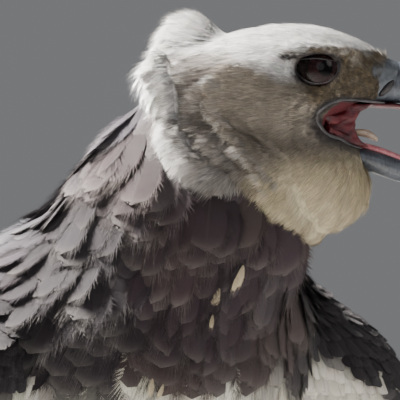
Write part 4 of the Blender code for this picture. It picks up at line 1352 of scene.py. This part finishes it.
# Lines of the ruff, with the offsets of their rows ahead of them in millimetres, and sizes in metres.
ruffLook = [
    {"line": cheekFolds[0]["line"], "ahead": (4.0, 1.0), "count": 95, "length": 0.0120, "width": 0.0040,
     "lift": 0.30, "tint": "ruff"},
    {"line": cheekFolds[0]["line"], "ahead": (-0.5,), "count": 110, "length": 0.0085, "width": 0.0024,
     "lift": 0.40, "tint": "tip"},
    {"line": cheekFolds[1]["line"], "ahead": (3.0, 0.0), "count": 95, "length": 0.0130, "width": 0.0044,
     "lift": 0.28, "tint": "ruff"},
    {"line": napeEdge, "ahead": (0.5, -2.5, -5.5, -8.5), "count": 110, "length": 0.0165, "width": 0.0056,
     "lift": 0.07, "tint": "nape"},
    {"line": [(-95, 10), (-97, -8), (-93, -26), (-86, -42), (-76, -54), (-62, -62), (-48, -64)],
     "ahead": (0.0, -4.0), "count": 110, "length": 0.0190, "width": 0.0060, "lift": 0.07, "tint": "nape"},
]
ruffSteps = 60  # places along each line


def ruffRows():
    draw = np.random.default_rng(9)
    found = []
    for look in ruffLook:
        line = smoothRows(look["line"], ruffSteps)
        for side in sides.values():
            for k in range(look["count"]):
                place = (k + draw.uniform(0, 1)) / look["count"] * (ruffSteps - 2)
                i = int(place)
                lie = line[i + 1] - line[i]
                at = line[i] + lie * (place - i)
                square = np.array((-lie[1], lie[0])) / np.linalg.norm(lie)
                faded = 0.9 * float(smoothStep(place / (ruffSteps - 2), 0.52, 0.82))
                fade = faded if look["tint"] == "nape" else 0.0
                for offset in look["ahead"]:
                    x, z = at + square * (offset + draw.normal(0, 1.0))
                    root, normal = castOnSkin(headPoint(x, side * 90, z), Vector((0, -side, 0)))
                    if root is not None and abs(root.y - eyeMiddle.y) >= 0.006:
                        found.append((root, normal, look, fade))
    roots = np.array([f[0] for f in found])
    lies = flow(roots, np.array([f[1] for f in found]))
    rows = []
    for (root, normal, look, fade), lie, paint in zip(found, lies, markings(roots)):
        way = (Vector(lie) + normal * look["lift"] * draw.uniform(0.5, 1.4)).normalized()
        tip = root + way * look["length"] * (1 - 0.3 * fade) * draw.uniform(0.8, 1.15)
        shade = np.array(colours[look["tint"]]) * (1 - fade) + np.array(colours["ruff"]) * fade
        tint = (paint * 0.3 + shade * 0.7) * draw.uniform(0.85, 1.1)
        rows.append((root - normal * 0.0006, tip, normal, look["width"] * draw.uniform(0.8, 1.2), tint))
    return rows


placed("ruffFeathers", "hair", ruffRows(), "pale_plumage", 10, jitter=0.10, tilt=0.0, curl=0.10)

# Cream flecks in the dark breast: root ahead of and above the eye, length and width, in millimetres.
breastFlecks = [
    (-60.5, -127, 20, 6), (-62.5, -131, 17, 4.6), (-46.5, -114, 14, 5), (-48.5, -118, 12, 3.8),
    (-43, -132, 8, 3.2), (-66, -147, 8, 3.0), (-99, -182, 11, 3.6), (-94, -185, 9, 3.2),
]
fleckLook = {"stand": 0.0086, "lift": 0.0010, "way": Vector((-0.18, 0, -1))}


def fleckRows():
    rows = []
    for x, z, length, width in breastFlecks:
        hit, normal = castOnSkin(headPoint(x, -160, z), Vector((0, 1, 0)))
        way = (fleckLook["way"] - normal * fleckLook["way"].dot(normal)).normalized()
        root = hit + normal * fleckLook["stand"]
        tip = root + way * length * mm + normal * fleckLook["lift"]
        rows.append((root, tip, normal, width * mm, colours["cream"]))
    return rows


placed("breastFlecks", "plume", fleckRows(), "pale_plumage", 14, jitter=0.05, tilt=0.02, curl=0.10)

# Kind of feather, spacing, length, width, seed and share of dark.
crestLook = {
    "crestFeathers": ("plume", 0.0048, 0.0185, 0.0078, 8, 0.8),
    "crestHairs": ("hair", 0.0028, 0.014, 0.0050, 13, 0.3),
}


def crestCoat(name, kind, gap, length, width, seed, darkShare):
    def spacing(points):
        x, z = sideView(points).T
        return np.where((x < -60) & (z > 14 - 0.9 * (-60 - x)) & (z > -18), gap, 0.0)

    found = spreadRoots(spacing, seed)
    x, y, z = headPlace(found[0]).T
    # Painted highlight and shade: the crest takes the nape's near white, brighter than its own dark grey as if
    # sunlit, and its rear feathers are dark slate at random, partly the crest's own dark and partly painted
    # shade under it.
    behind = smoothStep(-x + 0.4 * z, 92, 104) * (np.abs(y) < 26)
    dark = (np.random.default_rng(seed).uniform(0, 1, len(x)) < behind) * darkShare
    tints = plain("nape", len(x))
    tints = tints + (np.array(colours["slate"]) * 1.6 - tints) * dark[:, None]
    grown = length * (0.75 + 0.35 * smoothStep(-x, 66, 90))
    lay(name, kind, found, grown, width, seed, tint=tints, slot="pale_plumage", tilt=0.15, curl=0.13)


for name, look in crestLook.items():
    crestCoat(name, *look)

wingFeathers = {
    # Each tier of coverts: share of the wing's length, lowest and highest place, count, length, width, lift.
    "tiers": [
        (0.20, -0.80, 0.90, 15, 0.082, 0.034, 0.0050), (0.31, -0.82, 0.88, 15, 0.090, 0.034, 0.0042),
        (0.42, -0.84, 0.86, 15, 0.104, 0.035, 0.0036), (0.54, -0.86, 0.84, 14, 0.112, 0.036, 0.0030),
    ],
    "secondaries": 12, "primaries": 9, "layer": 0.00085, "root": 0.74, "widths": (0.042, 0.036),
    "topLevel": 0.74, "levels": 1.44, "middle": 0.45, "span": 0.42, "sunk": 0.003,
}


def wingSkin(share, level):
    middle, outward, upward, half, thick = wingStation(share)
    level = min(max(level, -0.97), 0.97)
    bow = math.sqrt(1 - level * level)
    root = middle + upward * half * level + outward * thick * bow
    facing = (outward / thick * bow + upward / half * level).normalized()
    return root, facing


def wingFeatherRows(side):
    draw = np.random.default_rng(11 if side > 0 else 12)
    put, turn = wingPlace(side)
    slate = np.array(colours["back"])
    middle, outward, upward, half, _ = wingStation(wingFeathers["root"])
    way = (Vector(wingTip) - middle).normalized()
    outward = (outward - way * outward.dot(way)).normalized()
    upward = (upward - way * upward.dot(way)).normalized()
    length = (Vector(wingTip) - middle).length
    flight = wingFeathers["secondaries"] + wingFeathers["primaries"]
    rows = []
    for k in range(flight):
        share = k / (flight - 1)
        second = k < wingFeathers["secondaries"]
        level = wingFeathers["topLevel"] - wingFeathers["levels"] * share
        root = middle + upward * half * level
        root -= outward * wingFeathers["layer"] * (k - flight * wingFeathers["middle"])
        reach = length * (0.50 + 0.16 * share) if second else length * (0.76 + 0.6 * (share - 0.5))
        end = root + way * min(reach, length) - upward * half * (0.10 + level * 0.62)
        tint = slate * (1.30 if second else 1.05) * draw.uniform(0.85, 1.15)
        rows.append((put(root), put(end), turn(outward), wingFeathers["widths"][0 if second else 1], tint))
    coverts = []
    for share, low, high, count, length, width, lift in wingFeathers["tiers"]:
        for k in range(count):
            level = low + (high - low) * k / (count - 1)
            root, facing = wingSkin(share + draw.uniform(-0.012, 0.012), level)
            ahead, _ = wingSkin(min(1.0, share + length / wingFeathers["span"]), level * 0.9)
            end = root + (ahead - root).normalized() * length * draw.uniform(0.92, 1.06) + facing * lift
            tint = slate * draw.uniform(0.55, 1.05)
            root = root - facing * wingFeathers["sunk"]
            coverts.append((put(root), put(end), turn(facing), width, tint))
    return rows, coverts


straight = {"tilt": 0.0, "curl": 0.0}
hugging = {"tilt": 0.02, "curl": 0.02}
for name, side in sides.items():
    flightRows, covertRows = wingFeatherRows(side)
    placed("flight_" + name, "flight", flightRows, "slate_plumage", 20, "flight", jitter=0.03, **straight)
    placed("coverts_" + name, "quill", covertRows, "slate_plumage", 21, "covert", jitter=0.05, **hugging)


# Tail

tailLook = {
    "length": 0.40, "drop": math.radians(37), "fan": math.radians(13), "feathers": 12, "layer": 0.00125,
    "start": 0.045, "width": 0.053, "root": (-0.205, 0, 0.392), "covertRows": 5, "covertWidth": 0.030,
    "coverts": 5, "covertStart": 0.082, "covertStep": 0.022, "covertLength": (0.066, 0.080),
}
# Places along the rump's spine and its radii there.
rumpRows = [(-0.03, 0.034), (0.0, 0.034), (0.03, 0.034), (0.06, 0.030), (0.09, 0.020), (0.112, 0.008)]


def tailRows(root, back, above):
    rows = []
    half = tailLook["feathers"] // 2
    for k in range(half):
        for side in sides.values():
            level = tailLook["layer"] * (4 - 2 * k - (side > 0))
            fan = tailLook["fan"] * (k + 0.5) / half * side
            way = back * math.cos(fan) + left * math.sin(fan)
            start = root + back * tailLook["start"] + left * side * (0.0035 + 0.0042 * k) + above * level
            length = (tailLook["length"] - tailLook["start"]) * (1 - 0.012 * k)
            rows.append((start, start + way * length, above, tailLook["width"], colours["tailPale"]))
    return rows


def tailCovertRows(root, back, above):
    draw = np.random.default_rng(31)
    rows = []
    for row in range(tailLook["covertRows"]):
        along = tailLook["covertStart"] - tailLook["covertStep"] * row
        for k in range(tailLook["coverts"]):
            level = 0.0100 - 0.0008 * k + 0.0007 * row
            out = 0.004 + 0.0085 * k
            for side in sides.values():
                for face in (1, -1):
                    start = root + back * along + left * side * out * 0.7
                    start += above * face * (0.012 + 0.004 * row) * (1 - 0.13 * k)
                    reach = along + draw.uniform(*tailLook["covertLength"])
                    end = root + back * reach + left * side * out * 1.25 + above * face * level
                    tint = np.array(colours["back" if face > 0 else "white"]) * draw.uniform(0.8, 1.1)
                    rows.append((start, end, above * face, tailLook["covertWidth"], tint))
    return rows


def buildTail():
    drop = tailLook["drop"]
    root = bodyPoint(*tailLook["root"])
    back = -forward * math.cos(drop) - up * math.sin(drop)
    above = up * math.cos(drop) - forward * math.sin(drop)
    rows, coverts = tailRows(root, back, above), tailCovertRows(root, back, above)
    placed("tailFeathers", "flight", rows, "barred_plumage", 32, "tail", jitter=0.015, **straight)
    placed("tailCoverts", "quill", coverts, "barred_plumage", 33, "plumage", jitter=0.08, **straight)
    rings = [ovalRing(root + back * s, left, above, r, r * 0.42, r * 0.42, 24) for s, r in rumpRows]
    rump = loft("rump", rings)
    unwrap(rump)
    paintPoints(rump, plain("charcoal", len(rump.data.vertices)))
    finishPiece(rump, "skin", "barred_plumage")
    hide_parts("tail")


buildTail()


# Bill, cere and tongue: x, height and half width in millimetres, with the reach above and below the spine

cereRows = [
    (31, -6, 20.5, 17.6, 13.4), (36.5, -6, 18.2, 16.4, 13.6), (42, -6.3, 15.9, 14.9, 13.4),
    (47.0, -6.6, 13.9, 13.5, 12.8), (48.6, -6.6, 12.6, 12.2, 11.6),
]
upperBillRows = [
    (34, -7.6, 14.0, 11.5, 11.6), (45, -6.9, 12.9, 12.6, 12.2), (55, -6.6, 12.0, 12.8, 12.6),
    (63.5, -9.4, 9.9, 12.1, 11.8), (69.5, -16.6, 7.1, 8.9, 8.9), (71.7, -27, 4.3, 5.5, 5.5),
    (70.0, -40.6, 0.8, 0.8, 0.8),
]
lowerBillRows = [
    (17, -49.5, 12.9, 5.4, 6.9), (34, -53.2, 11.5, 6.1, 7.7), (50, -58.8, 9.5, 6.3, 7.7),
    (62, -64.6, 6.5, 4.9, 5.5), (69.3, -68.9, 2.1, 1.3, 1.5),
]
tongueRows = [
    (27, -44.6, 5.6, 2.0, 2.6), (38, -47.8, 6.6, 2.6, 2.8), (51, -52.6, 5.4, 2.4, 2.6),
    (60, -56.6, 2.2, 1.0, 1.2),
]
# Ahead, above and radius of each nostril's slit, in millimetres.
nostrilRows = [
    (38.9, -14.8, 0.8), (41.0, -13.2, 2.0), (44.2, -9.9, 2.5), (46.6, -7.3, 1.8), (48.0, -5.8, 0.7),
]


def billLoft(name, rows, count, around, lean=None):
    read = smoothRows(rows, count)
    rings = []
    for i, (x, z, half, rise, fall) in enumerate(read):
        before, after = read[max(i - 1, 0)], read[min(i + 1, count - 1)]
        slope = math.atan2(after[1] - before[1], after[0] - before[0]) if lean is None else lean
        upward = Vector((-math.sin(slope), 0, math.cos(slope)))
        rings.append(headRing(x, z, half, rise, fall, around, upward))
    return loft(name, rings)


def tubeAlong(name, points, radii, around=16):
    # A round tube through points, turned so that its rings don't twist.
    path = [Vector(p) for p in points]
    across = None
    rings = []
    for i, here in enumerate(path):
        ahead = (path[min(i + 1, len(path) - 1)] - path[max(i - 1, 0)]).normalized()
        if across is None:
            across = ahead.cross(up if abs(ahead.z) < 0.9 else forward)
        across = (across - ahead * across.dot(ahead)).normalized()
        rings.append(ovalRing(here, across, across.cross(ahead), radii[i], radii[i], radii[i], around))
    return loft(name, rings)


def cutFrom(piece, cutter):
    applyModifier(piece, "BOOLEAN", operation="DIFFERENCE", solver="MANIFOLD", object=cutter)
    bpy.data.objects.remove(cutter)


def buildBill():
    cere = billLoft("cere", cereRows, 28, 64, math.radians(-20))
    tree = surfaceTree(cere)
    for side in sides.values():
        path, radii = [], []
        for x, z, radius in smoothRows(nostrilRows, 16):
            hit = tree.ray_cast(headPoint(x, side * 60, z), Vector((0, -side, 0)))[0]
            path.append(hit - Vector((0, side * 0.0004, 0)))
            radii.append(radius * mm)
        cutFrom(cere, tubeAlong("nostril", path, radii))
        # Painted shade: a dark sleeve of lid skin just inside each nostril stands in for the shade in its
        # hollow.
        inward = Vector((0, -side * 0.0009, 0))
        shadeSleeve = tubeAlong("nostrilShadeSleeve", [p + inward for p in path], [r * 0.98 for r in radii])
        finishPiece(shadeSleeve, "lid", "cere_skin")
    finishPiece(cere, "cere")
    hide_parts("cere")
    upper = finishPiece(billLoft("billUpper", upperBillRows, 40, 48), "bill")
    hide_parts("bill_upper")
    lower = finishPiece(billLoft("billLower", lowerBillRows, 36, 40), "bill")
    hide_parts("bill_lower")
    tongue = finishPiece(billLoft("tongue", tongueRows, 30, 28), "tongue")
    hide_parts("tongue")


# Mouth: its lining in outline, two folds a side, palate, glottis and the bare rim of the gape

mouthLook = {
    "half": 14.8, "voxel": 0.0007, "smoothing": 6, "crease": 0.0005, "creaseScale": 420.0,
    "outline": [
        (3.2, -28.2), (5.2, -33.4), (9.0, -38.3), (21.0, -43.6), (33.0, -46.4), (27.0, -42.0), (24.6, -37.0),
        (24.2, -31.0), (27.0, -25.0), (36.0, -19.8), (15.0, -19.6), (6.4, -23.4),
    ],
    # Ahead, out and height of each fold, and its radius in metres.
    "folds": [
        ([(4.0, 22, -27.0), (9.0, 20, -29.5), (14, 16, -29.0), (20, 12, -26.0)], 0.0032),
        ([(7.0, 23, -35.5), (12.0, 19, -38.5), (20, 14, -42.0), (28, 10, -45.5)], 0.0028),
    ],
    # Ahead, height, half width, rise and fall.
    "palate": [
        (24, -20.6, 13, 1.6, 1.4), (34, -20.4, 12, 1.6, 1.4), (46, -20.6, 10, 1.6, 1.4),
        (56, -21.4, 7, 1.6, 1.4),
    ],
    "glottis": [
        (21, -37.6, 2.4, 1.8, 1.8), (29, -36.6, 3.4, 2.4, 2.4), (35, -38.6, 3.8, 2.8, 2.8),
        (39.5, -41.6, 2.2, 1.6, 1.6),
    ],
}


def lipPoints(side):
    cranium = smoothRows(craniumRows, 60)
    points = []
    for x, z in [(42, -20.2), (27.6, -18.9), (14.4, -18.9), (4.8, -22.8)]:
        top, bottom, half = (float(np.interp(x, cranium[:, 0], cranium[:, i])) for i in (1, 2, 3))
        level = widestLevel(top, bottom)
        drop = min(0.99, abs(z + 2.5 - level) / max(level - bottom, 1))
        points.append((x, side * half * math.sqrt(1 - drop * drop), z + 0.6))
    points.append((0.0, side * 31.5, -28.2))
    for x, z in gapeLower[1:6]:
        points.append((x, side * (30.5 - 0.62 * x), z - 0.6))
    return smoothRows(points, 60)


def buildLips(side):
    place = np.linspace(0, math.pi, 60)
    radii = 0.00030 + 0.00105 * np.sin(place) ** 0.5 + 0.00022 * np.sin(place * 9) * np.sin(place * 4)
    lip = tubeAlong("gapeFlange", [headPoint(*p) for p in lipPoints(side)], list(radii), 14)
    finishPiece(lip, "gape")


def buildMouth():
    across = np.linspace(-mouthLook["half"], mouthLook["half"], 12)
    pieces = [loft("lining", [[headPoint(x, y, z) for x, z in mouthLook["outline"]] for y in across])]
    for side in sides.values():
        for fold, radius in mouthLook["folds"]:
            path = smoothRows([(x, side * y, z) for x, y, z in fold], 14)
            pieces.append(tubeAlong("fold", [headPoint(*p) for p in path], [radius] * 14, 12))
    pieces.append(loft("palate", [headRing(*row, 20) for row in mouthLook["palate"]]))
    glottis = loft("glottis", [headRing(*row, 16) for row in mouthLook["glottis"]])
    mouth = joinPieces(pieces, "mouthLining")
    applyModifier(mouth, "REMESH", mode="VOXEL", voxel_size=mouthLook["voxel"])
    applyModifier(mouth, "SMOOTH", factor=0.5, iterations=mouthLook["smoothing"])
    points, normals, _, _ = meshArrays(mouth)
    creases = mouthLook["crease"] * roughness(points * (0.5, 1, 1), mouthLook["creaseScale"], 3.0)
    setPoints(mouth, points + normals * creases[:, None])
    finishPiece(mouth, "mouth")
    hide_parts("mouth_lining")
    applyModifier(glottis, "SUBSURF", levels=2)
    finishPiece(glottis, "glottis")
    for side in sides.values():
        buildLips(side)


# Eyes and lids

eyeLook = {
    "radius": 0.0135, "spread": 0.0282, "turn": math.radians(22), "pupil": 0.0050, "iris": 0.0094,
    "bulge": 0.06, "steps": 44, "streak": 0.35,
}


def buildEye(name, side):
    splay = eyeLook["turn"]
    middle = headPoint(0, side * eyeLook["spread"] / mm, 0)
    look = Vector((math.sin(splay), side * math.cos(splay), 0))
    across = look.cross(up).normalized()
    rings = []
    for step in range(eyeLook["steps"]):
        turn = math.pi * (step + 0.5) / eyeLook["steps"]
        radius = eyeLook["radius"] * math.sin(turn)
        cornea = float(smoothStep(-math.cos(turn), 0.45, 0.85))
        reach = -math.cos(turn) * eyeLook["radius"] * (1 + eyeLook["bulge"] * cornea)
        rings.append(ovalRing(middle + look * reach, across, up, radius, radius, radius, 56))
    eye = loft("eyeball_" + name, rings)
    gap = meshArrays(eye)[0] - np.array(middle)
    front = gap @ np.array(look)
    offAxis = np.linalg.norm(gap - front[:, None] * np.array(look), axis=1)
    angle = np.arctan2(gap @ np.array(across), gap[:, 2])
    streak = 1 + eyeLook["streak"] * np.sin(angle * 31) * np.sin(angle * 17 + 1)
    tint = np.array(colours["iris"]) * streak[:, None]
    for part, where in (
        ("pupil", offAxis < eyeLook["pupil"]), ("irisRim", offAxis > eyeLook["iris"]), ("eyeBack", front < 0),
    ):
        tint = np.where(where[:, None], np.array(colours[part]), tint)
    paintPoints(eye, tint)
    finishPiece(eye, "eye")
    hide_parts("eye_" + name)


# Half length, top and bottom of the lids' opening, and width and thickness of the rim, in millimetres.
# The inner rows are the rim's way back to the eyeball: how far out, and how deep.
lidLook = {
    "x": 11.9, "top": 5.6, "low": 8.3, "count": 96, "wide": 1.7, "thick": 0.7, "ball": 13.6, "bowl": 13.2,
    "steps": 10, "off": 0.35, "inner": ((2.6, 4.2), (1.2, 3.4), (0.0, 2.2)),
}


def lidHeight(x, z):
    # How far out the eyeball's surface lies behind a place on the lids.
    ball = math.sqrt(max(0.0, lidLook["ball"] ** 2 - min(x * x + z * z, lidLook["bowl"] ** 2)))
    return eyeLook["spread"] / mm + max(ball, 4.6)


def lidRing(side, turn):
    c, s = math.cos(turn), math.sin(turn)
    tall = lidLook["top"] * (1 - 0.10 * c) if s > 0 else lidLook["low"]
    corner = 1 + (0.12 if c < 0 else 0.02) * abs(c) ** 8
    x = lidLook["x"] * c * corner + 0.6
    z = tall * (abs(s) ** (0.50 if s > 0 else 0.9)) * (1 if s > 0 else -1) + 1.6 * abs(c) ** 4
    ring = []
    for step in range(lidLook["steps"]):
        share = step / (lidLook["steps"] - 1)
        grow = 1 + lidLook["wide"] * share / math.hypot(x, z)
        roll = lidLook["thick"] * math.sin(math.pi * min(1.0, 0.12 + share * 1.15)) * (1.35 if s > 0 else 0.8)
        crease = -0.35 * math.exp(-(((share - 0.55) / 0.10) ** 2))
        sink = -1.2 * max(0.0, share - 0.5)
        y = lidHeight(x * grow, z * grow) + lidLook["off"] + roll + crease + sink
        ring.append(headPoint(x * grow, side * y, z * grow))
    for out, deep in lidLook["inner"]:
        grow = 1 + out / math.hypot(x, z)
        ring.append(headPoint(x * grow, side * (lidHeight(x, z) - deep), z * grow))
    return ring


def buildLid(name, side):
    # The rim of the lids: an almond with a flat upper edge and a corner at each end.
    turns = [2 * math.pi * k / lidLook["count"] for k in range(lidLook["count"])]
    lid = loft("lid_" + name, [lidRing(side, turn) for turn in turns], True)
    finishPiece(lid, "lid", "cere_skin")


buildBill()
buildMouth()
for name, side in sides.items():
    buildEye(name, side)
    buildLid(name, side)


# Legs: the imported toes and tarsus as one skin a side, with their scutes raised

legLook = {
    "voxel": 0.0010, "smoothing": 4, "scute": 0.00095, "pitch": 0.0060, "groove": 0.72, "pebble": 0.12,
    "floor": 0.0002, "tint": (1.0, 0.97, 0.92),
}


def solidCopy(name):
    piece = nodeCopy(name)
    mergeCorners(piece)
    return piece


def buildFoot(name, side):
    toes = ("hallux", "inner", "middle", "outer")
    parts = ["tarsus_" + name] + ["toe_%s_%s" % (toe, name) for toe in toes]
    foot = joinPieces([solidCopy(part) for part in parts], "foot_" + name)
    applyModifier(foot, "REMESH", mode="VOXEL", voxel_size=legLook["voxel"])
    applyModifier(foot, "SMOOTH", factor=0.5, iterations=legLook["smoothing"])
    points, normals, _, _ = meshArrays(foot)
    height = points[:, 2]
    heart = np.array(bodyPoint(-0.012, side * 0.078, 0))
    reach = np.hypot(points[:, 0] - heart[0], points[:, 1] - heart[1])
    onLeg = smoothStep(height, 0.024, 0.036)
    along = reach * (1 - onLeg) + height * onLeg
    scute = np.clip(np.abs(np.sin(math.pi * along / legLook["pitch"])) * 3.2, 0, 1)
    frontSide = smoothStep(normals @ np.array(forward), -0.1, 0.5)
    topSide = np.where(onLeg > 0.5, frontSide, smoothStep(normals[:, 2], 0.05, 0.6))
    pebble = roughness(points, 900.0, 2.0) * 0.4 * (1 - topSide)
    offSole = smoothStep(height, 0.0006, 0.003)
    lift = legLook["scute"] * ((scute - 0.75) * topSide + pebble)
    points = points + normals * (lift * offSole)[:, None]
    points[:, 2] = np.maximum(points[:, 2], legLook["floor"])
    setPoints(foot, points)
    shade = 1 - legLook["groove"] * (1 - scute) * topSide * offSole - legLook["pebble"] * pebble
    paintPoints(foot, shade[:, None] * np.array(legLook["tint"]))
    finishPiece(foot, "leg")
    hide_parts(*parts)
    for toe in toes:
        node = "claw_%s_%s" % (toe, name)
        claw = solidCopy(node)
        claw.name = "talon_%s_%s" % (toe, name)
        applyModifier(claw, "SUBSURF", levels=2)
        finishPiece(claw, "claw")
        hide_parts(node)


for name, side in sides.items():
    buildFoot(name, side)
say("bare parts done")


# Camera, light and floor

cameraLook = {"lens": 235, "sensor": 36, "away": 1.6, "span": 0.2451, "pixels": 400, "eye": (314, 72)}
# Place and aim from the middle of the eyes, size, power and colour of each lamp.
lamps = {
    "key": ((-1.35, 0.22, 1.2), (-0.1, 0, -0.15), 0.5, 430, (1.0, 0.96, 0.91)),
    "fill": ((0.5, -1.9, 0.5), (0, 0, -0.2), 1.6, 9, (0.95, 0.95, 1.0)),
    "front": ((1.3, -0.4, 0.7), (0, 0, -0.05), 0.8, 5, (1.0, 0.97, 0.92)),
}
studioLook = {
    "sky": (0.55, 0.56, 0.58, 1), "skyPower": 0.33, "floor": (0.62, 0.62, 0.61, 1), "floorRoughness": 0.85,
    "floorSize": 6, "floorHeight": -0.0005,
}


def addCamera():
    # Shows the bird's eye at its pixel of the picture, whose width spans this many metres at the head.
    data = bpy.data.cameras.new("camera")
    data.lens = cameraLook["lens"]
    data.sensor_width = cameraLook["sensor"]
    made = addObject("camera", data)
    pixel = cameraLook["span"] / cameraLook["pixels"]
    middle = cameraLook["pixels"] / 2
    x, z = (middle - cameraLook["eye"][0]) * pixel, (cameraLook["eye"][1] - middle) * pixel
    made.location = eyeMiddle + Vector((x, -cameraLook["away"], z))
    made.rotation_euler = (math.radians(90), 0, 0)
    bpy.context.scene.camera = made


addCamera()
for name, (place, aim, size, power, colour) in lamps.items():
    data = bpy.data.lights.new(name, "AREA")
    data.shape = "DISK"
    data.size = size
    data.energy = power
    data.color = colour
    lamp = addObject(name, data)
    lamp.location = eyeMiddle + Vector(place)
    lamp.rotation_euler = (Vector(aim) - Vector(place)).to_track_quat("-Z", "Y").to_euler()

world = bpy.data.worlds.new("world")
world.use_nodes = True
sky = world.node_tree.nodes["Background"]
setSockets(sky, {"Color": studioLook["sky"], "Strength": studioLook["skyPower"]})
bpy.context.scene.world = world

bpy.ops.mesh.primitive_plane_add(size=studioLook["floorSize"], location=(0, 0, studioLook["floorHeight"]))
floor = bpy.context.object
floor.name = "floor"
floorMaterial, _, floorShader = newMaterial("floor")
setSockets(floorShader, {"Base Color": studioLook["floor"], "Roughness": studioLook["floorRoughness"]})
floor.data.materials.append(floorMaterial)
